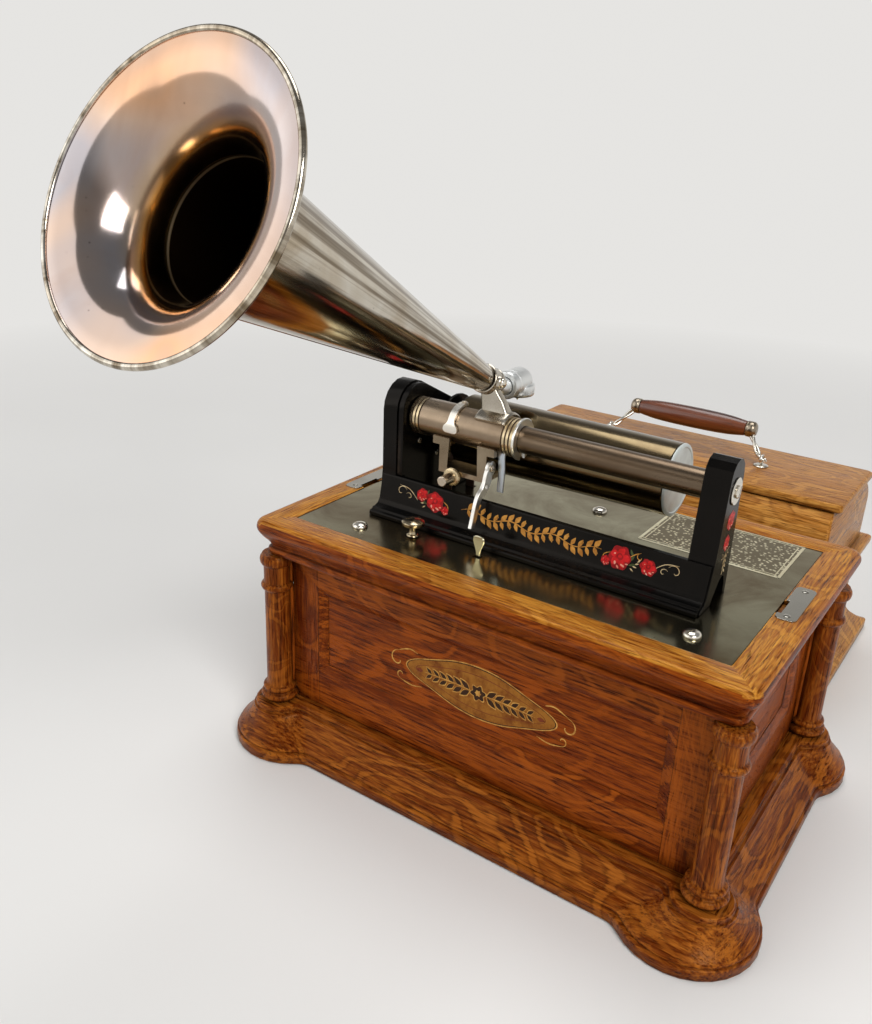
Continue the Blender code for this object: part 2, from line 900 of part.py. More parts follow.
def clip_notch(name, sx):
    middle = clip_shift + clip_notch_shift
    edges = sorted((sx * bed_length / 2, sx * (bed_length / 2 + clip_notch_width)))
    return helper(name, box(*edges, middle - clip_notch_length / 2, middle + clip_notch_length / 2,
                            rim_top - clip_pocket_depth, rim_top + overrun))


def top_rim():
    shelf = bed_underside - clearance
    profile = [(clearance, shelf), (clearance, rim_top)]
    for out, up in rim_profile_shares:
        profile.append((out * rim_width, rim_bottom + up * rim_height))
    profile += [(-rim_ledge, rim_bottom), (-rim_ledge, shelf)]
    rings = []
    for offset, z in profile:
        corner = max(bed_corner, rim_corner_share * offset)
        ring = rounded_rectangle(bed_length / 2 + offset, bed_depth / 2 + offset, corner)
        rings.append([(x, y, z) for x, y in ring])
    rim = finish("top_rim", loft(bmesh.new(), rings, closed=True), oak)
    for sx in (-1, 1):
        recess = clip_prism(clearance, sx, rim_top - clip_sink, rim_top + overrun)
        cut(rim, helper("clip_recess", recess), clip_notch("clip_pocket", sx))
    return rim


def clip(name, sx):
    low = rim_top - clip_sink + clearance
    plate = finish(name, clip_prism(0, sx, low, low + clip_thickness), steel)
    return cut(plate, clip_notch(name + "_notch", sx))


def belt_slot(name, sign):
    middle = mandrel_y + sign * (pulley_groove + clearance + belt_thickness / 2)
    half_y = belt_thickness / 2 + belt_slot_room
    half_x = belt_width / 2 + belt_slot_room
    return helper(name, box(pulley_middle - half_x, pulley_middle + half_x, middle - half_y,
                            middle + half_y, bed_underside - overrun, bed_top + overrun))


def lever_pivot_z():
    return bed_underside - lever_drop


def bedplate():
    ring = rounded_rectangle(bed_length / 2, bed_depth / 2, bed_corner)
    bm = loft(bmesh.new(), [[(x, y, z) for x, y in ring] for z in (bed_underside, bed_top)])
    plate = finish("bedplate", bm, nickel)
    reach = lever_stem_width / 2 + lug_gap
    for sign in (-1, 1):
        edges = sorted((lever_x + sign * reach, lever_x + sign * (reach + lug_thickness)))
        lug = box(*edges, lever_y - lug_half_depth, lever_y + lug_half_depth,
                  bed_underside - lug_height, bed_underside + bed_thickness / 2)
        join(plate, helper("lever_lug", lug))
    half_x = lever_stem_width / 2 + lug_gap
    slot = box(lever_x - half_x, lever_x + half_x, lever_y - lever_slot_half,
               lever_y + lever_slot_half, bed_underside - overrun, bed_top + overrun)
    cut(plate, belt_slot("belt_slot_front", -1), belt_slot("belt_slot_back", 1),
        helper("lever_slot", slot))
    outer = reach + lug_thickness + overrun
    cut(plate, hole_x("lug_holes", lever_y, lever_pivot_z(), lever_x - outer, lever_x + outer,
                      lever_pin + clearance))
    shaft = rod((knob_x, knob_y, bed_underside - overrun), (knob_x, knob_y, bed_top + overrun),
                knob_stem + clearance, small_segments)
    return cut(plate, helper("knob_hole", shaft))


# Iron frame and gear housing

def front_foot(front):
    """Front edge of a standard from its toe up to its waist."""
    points = [(foot_tip, clearance), (foot_tip, foot_toe)]
    for out, up in foot_shares:
        points.append((foot_tip + out * (foot_knee - foot_tip),
                       foot_toe + up * (foot_knee_height - foot_toe)))
    points.append((front, right_waist))
    return points


def raised(points):
    return [(y, bed_top + z) for y, z in points]


def right_outline():
    points = raised(front_foot(right_waist_front))
    points += arc(tube_y, bed_top + right_height - right_dome_radius, right_dome_radius,
                  180.0, 0.0, corner_segments * 2)
    points.append((tube_y + right_dome_radius, bed_rest))
    for out, up in arch_shares:
        points.append((arch_rear + out * (arch_front - arch_rear),
                       max(bed_top + up * arch_height, bed_rest)))
    return points


def left_lobes(inset):
    """Rounded top over the tube axis running down over the mandrel axis to the rear foot."""
    dome = left_dome_radius - inset
    rear = left_rear_radius - inset
    run = math.hypot(mandrel_y - tube_y, mandrel_z - dome_z)
    slope = math.atan2(mandrel_z - dome_z, mandrel_y - tube_y)
    tangent = math.degrees(slope + math.acos((dome - rear) / run))
    points = arc(tube_y, dome_z, dome, 180.0, tangent, corner_segments * 2)
    points += arc(mandrel_y, mandrel_z, rear, tangent, left_rear_turn_deg, corner_segments * 2)
    last_y, last_z = points[-1]
    foot_y = left_rear_foot - inset
    for out, up in left_rear_shares:
        points.append((last_y + out * (foot_y - last_y), bed_rest + up * (last_z - bed_rest)))
    return points


def rail_outline():
    points = []
    for out, up in rail_profile_shares:
        points.append((rail_front + out * (rail_rear - rail_front),
                       bed_top + max(up * rail_height, clearance)))
    return points


def gear_pocket():
    """Round-ended room for the three gears of the feed train."""
    reach = feed_tip + gear_pocket_margin
    slope = math.degrees(axis_slope)
    points = arc(tube_y, tube_z, reach, slope + 90.0, slope + 270.0, round_segments // 2)
    points += arc(mandrel_y, mandrel_z, reach, slope - 90.0, slope + 90.0, round_segments // 2)
    return helper("gear_pocket", along_x(points, pocket_left, cover_left + overrun))


def iron_frame():
    frame = finish("iron_frame", along_x(right_outline(), frame_inner_right, frame_right),
                   black_iron)
    outline = raised(front_foot(tube_y - left_dome_radius)) + left_lobes(0)
    housing = helper("gear_housing", along_x(outline, frame_left, cover_left - clearance))
    rail = helper("front_rail", along_x(rail_outline(), frame_left + rail_end_inset,
                                        frame_right - rail_end_inset))
    join(frame, housing, rail)
    cut(frame, gear_pocket())
    stud = rod((pocket_left - bearing_depth, idler_y, idler_z), (gear_right, idler_y, idler_z),
               idler_pin, small_segments)
    join(frame, helper("idler_stud", stud))
    floor = pocket_left - bearing_depth
    cut(frame, hole_x("shaft_bearing", mandrel_y, mandrel_z, floor, cover_left,
                      shaft_radius + clearance),
        hole_x("screw_bearing", tube_y, tube_z, floor, cover_left, screw_journal + clearance),
        hole_x("tube_socket", tube_y, tube_z, frame_inner_right - overrun,
               tube_right + clearance, tube_radius + clearance),
        hole_x("stem_hole", tube_y, tube_z, tube_right, frame_right + overrun,
               plug_stem + clearance))
    return frame


def gear_cover():
    front = rail_rear + clearance
    step = bed_top + rail_height + clearance
    outline = [(front, bed_rest), (front, step), (tube_y - left_dome_radius + cover_inset, step)]
    outline += left_lobes(cover_inset)
    cover = finish("gear_cover", along_x(outline, cover_left, cover_right), black_iron)
    return cut(cover, hole_x("cover_tube_hole", tube_y, tube_z, cover_left - overrun,
                             cover_right + overrun, tube_radius + clearance),
               hole_x("cover_shaft_hole", mandrel_y, mandrel_z, cover_left - overrun,
                      cover_right + overrun, shaft_radius + clearance))


def feed_tube():
    profile = ((tube_left, tube_bore), (tube_left, tube_radius), (tube_right, tube_radius),
               (tube_right, tube_bore))
    place = axis_frame((0, tube_y, tube_z), (1, 0, 0))
    tube = finish("feed_tube", revolve(profile, place, round_segments), nickel)
    slot = box(slot_left, slot_right, tube_y - tube_slot_width / 2, tube_y + tube_slot_width / 2,
               tube_z - tube_radius - overrun, tube_z)
    return cut(tube, helper("tube_slot", slot))


def tube_plug():
    radius = tube_bore - clearance
    end = frame_right
    profile = ((plug_left, 0), (plug_left, radius), (tube_right, radius), (tube_right, plug_stem),
               (end, plug_stem), (end, 0))
    plug = finish("tube_plug", revolve(profile, axis_frame((0, tube_y, tube_z), (1, 0, 0)),
                                       small_segments), steel)
    return cut(plug, hole_x("plug_pivot", tube_y, tube_z, plug_left - overrun,
                            plug_left + pivot_depth, screw_pivot + clearance))


# Feed train, mandrel and belt

mandrel_turn = math.pi / 2
idler_turn = mesh_turn(idler_teeth, feed_teeth, mandrel_turn, axis_slope + math.pi)
feed_turn = mesh_turn(feed_teeth, idler_teeth, idler_turn, axis_slope + math.pi)


def train_gear(name, teeth, turn, y, z, bore):
    bm = gear_solid(teeth, feed_module, tooth_backlash, turn, y, z, gear_left, gear_right)
    wheel = finish(name, bm, brass, (gear_left, y, z))
    return cut(wheel, hole_x(name + "_bore", y, z, gear_left - overrun, gear_right + overrun,
                             bore + clearance))


def feed_screw():
    start = pocket_left - bearing_depth + clearance
    shoulder = cover_left + cover_thickness / 2
    profile = ((start, 0), (start, screw_journal), (shoulder, screw_journal),
               (shoulder, screw_radius), (plug_left - clearance, screw_radius),
               (plug_left - clearance, screw_pivot),
               (plug_left + pivot_depth - clearance, screw_pivot),
               (plug_left + pivot_depth - clearance, 0))
    bm = revolve(profile, axis_frame((0, tube_y, tube_z), (1, 0, 0)), small_segments)
    return finish("feed_screw", bm, steel, (nut_x, tube_y, tube_z))


def mandrel_shell():
    right = mandrel_end_x - mandrel_cap_thickness - clearance
    web = mandrel_left + mandrel_web
    bore = shaft_radius + clearance
    profile = ((mandrel_left, bore), (mandrel_left, mandrel_radius_root),
               (right, mandrel_radius_end), (right, mandrel_radius_end - mandrel_wall),
               (web, mandrel_radius_root - mandrel_wall), (web, bore))
    bm = revolve(profile, axis_frame((0, mandrel_y, mandrel_z), (1, 0, 0)), round_segments)
    return finish("mandrel", bm, nickel, (mandrel_left, mandrel_y, mandrel_z))


def mandrel_cap():
    face = mandrel_end_x - mandrel_cap_thickness
    plug = mandrel_radius_end - mandrel_wall - clearance
    profile = ((face - mandrel_plug, 0), (face - mandrel_plug, plug), (face, plug),
               (face, mandrel_radius_end - mandrel_cap_rim),
               (mandrel_end_x, mandrel_radius_end - mandrel_cap_rim), (mandrel_end_x, 0))
    bm = revolve(profile, axis_frame((0, mandrel_y, mandrel_z), (1, 0, 0)), round_segments)
    return finish("mandrel_cap", bm, whitish, (face, mandrel_y, mandrel_z))


def mandrel_shaft():
    start = (pocket_left - bearing_depth + clearance, mandrel_y, mandrel_z)
    end = mandrel_end_x - mandrel_cap_thickness - mandrel_plug - clearance
    bm = rod(start, (end, mandrel_y, mandrel_z), shaft_radius, small_segments)
    return finish("mandrel_shaft", bm, steel, start)


def pulley(name, z, bore):
    """Flanged belt pulley on an X shaft."""
    inner = pulley_left + pulley_flange
    outer = pulley_right - pulley_flange
    profile = ((pulley_left, bore), (pulley_left, pulley_radius), (inner, pulley_radius),
               (inner, pulley_groove), (outer, pulley_groove), (outer, pulley_radius),
               (pulley_right, pulley_radius), (pulley_right, bore))
    bm = revolve(profile, axis_frame((0, mandrel_y, z), (1, 0, 0)), round_segments)
    return finish(name, bm, nickel, (pulley_middle, mandrel_y, z))


def belt_ring(radius, x):
    ring = arc(mandrel_y, mandrel_z, radius, 0.0, 180.0, round_segments // 2)
    ring += arc(mandrel_y, drive_z, radius, 180.0, 360.0, round_segments // 2)
    return [(x, y, z) for y, z in ring]


def drive_belt():
    inner = pulley_groove + clearance
    outer = inner + belt_thickness
    x0 = pulley_middle - belt_width / 2
    x1 = pulley_middle + belt_width / 2
    rings = [belt_ring(inner, x0), belt_ring(outer, x0), belt_ring(outer, x1), belt_ring(inner, x1)]
    return finish("drive_belt", loft(bmesh.new(), rings, closed=True), leather)


# Carriage

def half_nut():
    half = nut_width / 2
    bm = box(nut_left, nut_right, tube_y - half, tube_y + half,
             tube_z - sleeve_radius - nut_reach, tube_z - screw_radius / 2)
    nut = finish("half_nut", bm, brass, (nut_x, tube_y, tube_z))
    return cut(nut, hole_x("nut_thread", tube_y, tube_z, nut_left - overrun, nut_right + overrun,
                           screw_radius + clearance))


def sleeve_profile():
    """Bored sleeve with turned rings at both ends and a flange at the right."""
    outer = sleeve_radius
    groove = sleeve_radius - sleeve_ring_depth
    half = sleeve_ring_pitch / 2
    points = [(sleeve_left, sleeve_bore)]
    for i in range(sleeve_ring_count):
        x = sleeve_left + i * sleeve_ring_pitch
        points += [(x, outer), (x + half, outer), (x + half, groove)]
        points.append((x + sleeve_ring_pitch, groove))
    right = sleeve_right - sleeve_flange_length
    for i in range(sleeve_ring_count, 0, -1):
        x = right - i * sleeve_ring_pitch
        points += [(x, outer), (x, groove), (x + half, groove), (x + half, outer)]
    points += [(right, outer), (right, sleeve_flange_radius)]
    points += [(sleeve_right, sleeve_flange_radius), (sleeve_right, sleeve_bore)]
    return points


def sleeve():
    place = axis_frame((0, tube_y, tube_z), (1, 0, 0))
    bm = revolve(sleeve_profile(), place, round_segments)
    tube = finish("sleeve", bm, nickel, (nut_x, tube_y, tube_z))
    window = box(sleeve_window_left, sleeve_window_right, tube_y - clearance,
                 tube_y + sleeve_radius + overrun, tube_z + sleeve_window_depth,
                 tube_z + sleeve_radius + overrun)
    gap = box(nut_left - clearance, nut_right + clearance, tube_y - nut_window_front,
              tube_y + nut_window_rear, tube_z - sleeve_radius - overrun, tube_z)
    return cut(tube, helper("sleeve_window", window), helper("sleeve_gap", gap))


def sleeve_seat(name, x0, x1):
    """Round cutter that lets a fitted piece sit on the sleeve."""
    return hole_x(name, tube_y, tube_z, x0 - overrun, x1 + overrun, sleeve_radius + clearance)


def round_seat(name, x0, x1):
    return helper(name, rod((x0 - overrun, tube_y, tube_z), (x1 + overrun, tube_y, tube_z),
                            sleeve_radius + clearance, round_segments))


def yoke():
    top = tube_z - yoke_tab_drop
    tab = top - yoke_tab_depth
    low = tube_z - yoke_bar_drop - yoke_bar_thickness
    bar = tube_z - yoke_bar_drop
    left_leg = yoke_left + yoke_leg_inset
    right_leg = yoke_right - yoke_leg_inset
    outline = [
        (yoke_left, top), (yoke_left, tab), (left_leg, tab), (left_leg, low), (right_leg, low),
        (right_leg, tab), (yoke_right, tab), (yoke_right, top),
        (yoke_right - yoke_tab_width, top), (right_leg - yoke_leg_width, bar),
        (left_leg + yoke_leg_width, bar), (yoke_left + yoke_tab_width, top),
    ]
    rear = yoke_front + yoke_leg_thickness
    piece = finish("yoke", along_y(outline, yoke_front, rear), nickel, (nut_x, tube_y, tube_z))
    seats = ((yoke_left, yoke_left + yoke_tab_width), (yoke_right - yoke_tab_width, yoke_right))
    for x0, x1 in seats:
        pad = box(x0, x1, yoke_front + yoke_leg_thickness / 2, rear + yoke_tab_reach, tab, top)
        join(piece, helper("yoke_tab", pad))
    shelf = box(left_leg, right_leg, yoke_front + yoke_leg_thickness / 2, yoke_shelf_rear, low, bar)
    pin_z = tube_z - pin_drop
    boss = rod((pin_x, yoke_front, pin_z), (pin_x, rear, pin_z), pin_boss, small_segments)
    stud = rod((right_leg - yoke_leg_width / 2, hook_pivot_y, tube_z - hook_pivot_drop),
               (hook_x + hook_thickness, hook_pivot_y, tube_z - hook_pivot_drop),
               hook_stud_radius, small_segments)
    join(piece, helper("yoke_shelf", shelf), helper("pin_boss", boss), helper("hook_stud", stud))
    bore = rod((pin_x, yoke_front - overrun, pin_z), (pin_x, rear + overrun, pin_z),
               pin_shank + clearance, small_segments)
    return cut(piece, round_seat("yoke_seat", yoke_left, yoke_right), helper("pin_bore", bore))


def yoke_pin():
    pin_z = tube_z - pin_drop
    rear = yoke_front + yoke_leg_thickness
    collar = yoke_front - clearance
    profile = ((0, 0), (0, pin_shank), (rear - collar, pin_shank), (rear - collar, pin_collar_radius),
               (rear - collar + pin_collar_length, pin_collar_radius),
               (rear - collar + pin_collar_length, pin_radius), (rear - pin_front, pin_radius),
               (rear - pin_front, 0))
    bm = revolve(profile, axis_frame((pin_x, rear, pin_z), (0, -1, 0)), small_segments)
    return finish("yoke_pin", bm, nickel, (nut_x, tube_y, tube_z))


def lift_lever():
    """Flat hooked lever that hangs from its stud down in front of the rail."""
    path = []
    halves = []
    for out, down, width in hook_path_shares:
        path.append((hook_pivot_y - out * hook_reach, tube_z - hook_pivot_drop - down * hook_drop))
        halves.append(width * hook_half_width)
    left = []
    right = []
    for i, (y, z) in enumerate(path):
        y0, z0 = path[max(i - 1, 0)]
        y1, z1 = path[min(i + 1, len(path) - 1)]
        length = math.hypot(y1 - y0, z1 - z0)
        ny = (z1 - z0) / length * halves[i]
        nz = (y0 - y1) / length * halves[i]
        left.append((y + ny, z + nz))
        right.append((y - ny, z - nz))
    x1 = hook_x + hook_thickness
    pivot = (hook_x, hook_pivot_y, tube_z - hook_pivot_drop)
    lever = finish("lift_lever", along_x(left + right[::-1], hook_x, x1), nickel, pivot)
    inset = hook_thickness * hook_boss_share
    eye = rod((hook_x + inset, pivot[1], pivot[2]), (x1 - inset, pivot[1], pivot[2]), hook_eye,
              small_segments)
    tip = rod((hook_x + inset, *path[-1]), (x1 - inset, *path[-1]), halves[-1], small_segments)
    join(lever, helper("hook_eye", eye), helper("hook_tip", tip))
    return cut(lever, hole_x("hook_bore", pivot[1], pivot[2], hook_x - overrun, x1 + overrun,
                             hook_stud_radius + clearance))


def paddle_lever():
    """Band over the sleeve with a round finger disc at the front."""
    inner = sleeve_radius + slide_gap
    outer = inner + paddle_thickness
    x0 = paddle_x - paddle_stem_width / 2
    x1 = paddle_x + paddle_stem_width / 2
    steps = small_segments
    outline = arc(tube_y, tube_z, outer, paddle_start_deg, paddle_end_deg, steps)
    outline += arc(tube_y, tube_z, inner, paddle_end_deg, paddle_start_deg, steps)
    lever = finish("paddle_lever", along_x(outline, x0, x1), nickel, (nut_x, tube_y, tube_z))
    disc = rod((paddle_x, tube_y - inner - paddle_thickness / 2, tube_z + paddle_lift),
               (paddle_x, tube_y - outer - paddle_thickness / 2, tube_z + paddle_lift),
               paddle_radius, small_segments)
    return join(lever, helper("paddle_disc", disc))


def guide_arm():
    strip = box(guide_x - guide_width / 2, guide_x + guide_width / 2,
                guide_y - guide_thickness / 2, guide_y + guide_thickness / 2,
                tube_z - guide_foot_drop, tube_z - guide_top_drop)
    arm = finish("guide_arm", strip, steel, (nut_x, tube_y, tube_z))
    return cut(arm, round_seat("guide_seat", guide_x - guide_width, guide_x + guide_width))


horn_direction = Vector((
    math.sin(math.radians(horn_azimuth_deg)) * math.cos(math.radians(horn_elevation_deg)),
    -math.cos(math.radians(horn_azimuth_deg)) * math.cos(math.radians(horn_elevation_deg)),
    math.sin(math.radians(horn_elevation_deg)),
))
horn_start = Vector((horn_x, horn_y, horn_start_z))
horn_place = axis_frame(horn_start, horn_direction)


def horn():
    """Long cone with a short flared bell, a rolled rim and thin walls."""
    edge = horn_bell_radius - 2 * horn_roll
    outer = [(0, horn_end_radius), (horn_collar - horn_wall, horn_end_radius)]
    outer.append((horn_collar, horn_cone_radius))
    outer.append((horn_throat, horn_throat_radius))
    flare = horn_length - horn_roll - horn_throat
    lift = edge - horn_throat_radius
    for i in range(1, horn_flare_steps + 1):
        turn = math.pi / 2 * i / horn_flare_steps
        outer.append((horn_throat + flare * math.sin(turn),
                      horn_throat_radius + lift * (1 - math.cos(turn))))
    inner = []
    for i, (s, r) in enumerate(outer):
        s0, r0 = outer[max(i - 1, 0)]
        s1, r1 = outer[min(i + 1, len(outer) - 1)]
        length = math.hypot(s1 - s0, r1 - r0)
        inner.append((max(s + (r1 - r0) / length * horn_wall, 0), r - (s1 - s0) / length * horn_wall))
    inner[0] = (0, horn_end_radius - horn_wall)
    middle = outer[-1][0] + horn_wall / 2
    bead = arc(middle, edge + horn_roll, horn_roll, 235.0, -55.0, horn_bead_steps)
    profile = outer + bead + inner[::-1]
    bm = revolve(profile, horn_place, horn_segments)
    return finish("horn", bm, nickel, (nut_x, tube_y, tube_z))


def horn_clamp():
    """Saddle on the sleeve, a post and a ring whose set screw grips the horn's end."""
    centre = horn_start + clamp_centre * horn_direction
    ring_radius = clamp_bore + clamp_wall
    start = clamp_centre - clamp_length / 2
    end = clamp_centre + clamp_length / 2
    profile = ((start, 0), (start, ring_radius), (end, ring_radius), (end, 0))
    bm = revolve(profile, horn_place, round_segments)
    clamp = finish("horn_clamp", bm, nickel, (nut_x, tube_y, tube_z))
    outer = sleeve_radius + clearance + clamp_saddle
    saddle = arc(tube_y, tube_z, outer, clamp_saddle_deg, 180.0 - clamp_saddle_deg,
                 corner_segments * 2)
    saddle.append((tube_y, tube_z))
    join(clamp, helper("clamp_saddle", along_x(saddle, clamp_neck_left, clamp_neck_right)))
    half = clamp_neck_depth / 2
    low = tube_z + sleeve_radius
    levels = (
        (clamp_neck_left, clamp_neck_right, low),
        (clamp_neck_left, clamp_neck_left + clamp_neck_thickness * 2, (low + centre.z) / 2),
        (clamp_neck_left - clamp_neck_lean, clamp_neck_left + clamp_neck_thickness, centre.z),
    )
    rings = []
    for x0, x1, z in levels:
        shift = (centre.y - tube_y) * (z - low) / (centre.z - low)
        y0 = tube_y + shift - half
        y1 = tube_y + shift + half
        rings.append([(x0, y0, z), (x1, y0, z), (x1, y1, z), (x0, y1, z)])
    join(clamp, helper("clamp_neck", loft(bmesh.new(), rings)))
    boss_end = ring_radius + clamp_boss_height
    boss = rod(horn_place @ Vector((clamp_centre, 0, 0)),
               horn_place @ Vector((clamp_centre, boss_end, 0)), clamp_boss, small_segments)
    join(clamp, helper("clamp_boss", boss))
    bore_start = horn_start - overrun * horn_direction
    bore_end = horn_start + (horn_collar + overrun) * horn_direction
    bore = helper("clamp_bore", rod(bore_start, bore_end, clamp_bore, round_segments))
    hole = rod(horn_place @ Vector((clamp_centre, 0, 0)),
               horn_place @ Vector((clamp_centre, boss_end + overrun, 0)), clamp_screw_hole,
               small_segments)
    return cut(clamp, bore, helper("clamp_screw_hole", hole),
               round_seat("clamp_seat", clamp_neck_left, clamp_neck_right))


def reproducer_arm():
    level = arm_z
    first = horn_start - clearance * horn_direction
    second = horn_start - (horn_y_drop() / 2) * horn_direction
    points = [first, second, (horn_x, arm_level_y - arm_radius * arm_bend_share, level + clearance),
              (horn_x, arm_level_y, level), (horn_x, arm_end_y, level)]
    arm = sweep(points, [arm_radius] * len(points), small_segments)
    return finish("reproducer_arm", arm, nickel, (nut_x, tube_y, tube_z))


def horn_y_drop():
    """Distance back along the horn's line to the level of the reproducer's boss."""
    return horn_lift / horn_direction.z


def reproducer():
    low = reproducer_low
    rim = reproducer_radius - reproducer_edge
    place = axis_frame((horn_x, reproducer_y, low), (0, 0, 1))
    thick = reproducer_thickness
    profile = ((-stylus_length, 0), (-stylus_length, stylus_radius), (0, stylus_radius),
               (0, rim), (reproducer_edge, reproducer_radius),
               (thick - reproducer_edge, reproducer_radius), (thick, rim), (thick, 0))
    body = finish("reproducer", revolve(profile, place, round_segments), aluminium,
                  (nut_x, tube_y, tube_z))
    level = arm_z
    boss_length = boss_rear - boss_front
    boss_profile = ((0, 0), (0, boss_radius), (boss_length - boss_radius / 2, boss_radius),
                    (boss_length - boss_radius / 4, boss_radius * boss_end_share),
                    (boss_length, boss_radius / 2), (boss_length, 0))
    boss = revolve(boss_profile, axis_frame((horn_x, boss_front, level), (0, 1, 0)),
                   round_segments)
    join(body, helper("boss", boss))
    bore = rod((horn_x, boss_front - overrun, level), (horn_x, boss_bore_end, level),
               arm_radius + clearance, small_segments)
    return cut(body, helper("boss_bore", bore))


# Controls

def thumb_knob():
    profile = [(-knob_shank, 0), (-knob_shank, knob_stem), (clearance, knob_stem)]
    for height, radius in knob_profile_shares:
        profile.append((height * knob_height, radius * knob_radius))
    profile.append((knob_height, 0))
    place = axis_frame((knob_x, knob_y, bed_top), (0, 0, 1))
    return finish("thumb_knob", revolve(profile, place, small_segments), nickel,
                  (knob_x, knob_y, bed_top))


def start_lever():
    """Upright spoon on a cross pin under the bedplate."""
    pivot = lever_pivot_z()
    half = lever_stem_width / 2
    outline = [(lever_x - half, pivot - lever_tail), (lever_x + half, pivot - lever_tail)]
    right = []
    for up, out in lever_spoon_shares:
        right.append((half + out * (lever_width / 2 - half), bed_top + up * lever_height))
    right[-1] = (right[-1][0] * 0, bed_top + lever_height)
    outline += [(lever_x + x, z) for x, z in right]
    outline += [(lever_x - x, z) for x, z in reversed(right[:-1])]
    bm = along_y(outline, lever_y - lever_thickness / 2, lever_y + lever_thickness / 2)
    lever = finish("start_lever", bm, nickel, (lever_x, lever_y, pivot))
    reach = lever_stem_width / 2 + lug_gap + lug_thickness
    pin = rod((lever_x - reach, lever_y, pivot), (lever_x + reach, lever_y, pivot), lever_pin,
              small_segments)
    return join(lever, helper("lever_pin", pin))


# Spring motor

def meet(y0, z0, r0, y1, z1, r1):
    """The lower point at given distances from two axes."""
    run = math.hypot(y1 - y0, z1 - z0)
    along = (r0 ** 2 - r1 ** 2 + run ** 2) / (2 * run)
    off = math.sqrt(r0 ** 2 - along ** 2)
    uy = (y1 - y0) / run
    uz = (z1 - z0) / run
    return (y0 + along * uy + off * uz, z0 + along * uz - off * uy)


barrel_run = motor_module * (barrel_teeth + barrel_pinion_teeth) / 2
second_run = motor_module * (second_teeth + second_pinion_teeth) / 2
governor_run = motor_module * (governor_teeth + governor_pinion_teeth) / 2
second_y, second_z = meet(barrel_y, barrel_z, barrel_run, drive_y, drive_z, second_run)
governor_y = drive_y + governor_run * math.cos(math.radians(governor_angle_deg))
governor_z = drive_z + governor_run * math.sin(math.radians(governor_angle_deg))
plate_left_inner = motor_left + motor_plate
plate_right_inner = motor_right - motor_plate
drive_wheel_left = plate_left_inner + arbor_end
barrel_left = drive_wheel_left + wheel_thickness + arbor_end
barrel_wheel_left = barrel_left + barrel_length
barrel_wheel_right = barrel_wheel_left + wheel_thickness
second_wheel_left = barrel_wheel_right + arbor_end
second_wheel_right = second_wheel_left + wheel_thickness
barrel_turn = 0.0
to_second = math.atan2(second_z - barrel_z, second_y - barrel_y)
to_drive = math.atan2(drive_z - second_z, drive_y - second_y)
second_turn = mesh_turn(barrel_pinion_teeth, barrel_teeth, barrel_turn, to_second)
drive_turn = mesh_turn(second_pinion_teeth, second_teeth, 0.0, to_drive)
governor_turn = mesh_turn(governor_pinion_teeth, governor_teeth, 0.0,
                          math.radians(governor_angle_deg))


def motor_gear(teeth, turn, y, z, x0, x1):
    return gear_solid(teeth, motor_module, motor_backlash, turn, y, z, x0, x1)


def motor_plate_piece(name, x0, flange_side):
    top = bed_underside - clearance
    cut_corner = motor_corner
    outline = (
        (motor_front, top), (motor_front, motor_floor + cut_corner),
        (motor_front + cut_corner, motor_floor), (motor_rear - cut_corner, motor_floor),
        (motor_rear, motor_floor + cut_corner), (motor_rear, top),
    )
    plate = finish(name, along_x(outline, x0, x0 + motor_plate), steel)
    edges = sorted((x0 + motor_plate / 2, x0 + motor_plate / 2 + flange_side * motor_flange))
    flange = box(*edges, motor_front + motor_corner, motor_rear - motor_corner,
                 top - motor_plate, top)
    join(plate, helper("motor_flange", flange))
    for y, z, radius in ((barrel_y, barrel_z, winder_radius), (second_y, second_z, arbor_end),
                         (drive_y, drive_z, arbor_radius), (governor_y, governor_z, arbor_end)):
        cut(plate, hole_x("arbor_hole", y, z, x0 - overrun, x0 + motor_plate + overrun,
                          radius + clearance))
    for y, z in pillar_places():
        cut(plate, hole_x("pillar_hole", y, z, x0 - overrun, x0 + motor_plate + overrun,
                          pillar_tenon + clearance))
    return plate


def pillar_places():
    low = motor_floor + pillar_lift
    return ((motor_front + pillar_inset, low), (motor_rear - pillar_inset, low))


def motor_pillar(name, y, z):
    length = plate_right_inner - plate_left_inner
    profile = ((-motor_plate, 0), (-motor_plate, pillar_tenon), (clearance, pillar_tenon),
               (clearance, pillar_radius), (length - clearance, pillar_radius),
               (length - clearance, pillar_tenon), (length + motor_plate, pillar_tenon),
               (length + motor_plate, 0))
    bm = revolve(profile, axis_frame((plate_left_inner, y, z), (1, 0, 0)), small_segments)
    return finish(name, bm, steel)


def barrel():
    """Spring barrel, a drum with its toothed wheel at the right end."""
    drum = rod((barrel_left, barrel_y, barrel_z), (barrel_wheel_left + clearance, barrel_y, barrel_z),
               barrel_radius, round_segments)
    piece = finish("barrel", drum, brass, (barrel_left, barrel_y, barrel_z))
    wheel = motor_gear(barrel_teeth, barrel_turn, barrel_y, barrel_z, barrel_wheel_left,
                       barrel_wheel_right)
    join(piece, helper("barrel_wheel", wheel))
    return cut(piece, hole_x("barrel_bore", barrel_y, barrel_z, barrel_left - overrun,
                             barrel_wheel_right + overrun, winder_radius + clearance))


def winding_arbor():
    start = -wall_half_x + panel_lip - winder_reach
    bm = rod((start, barrel_y, barrel_z), (motor_right, barrel_y, barrel_z), winder_radius,
             small_segments)
    return finish("winding_arbor", bm, steel, (start, barrel_y, barrel_z))


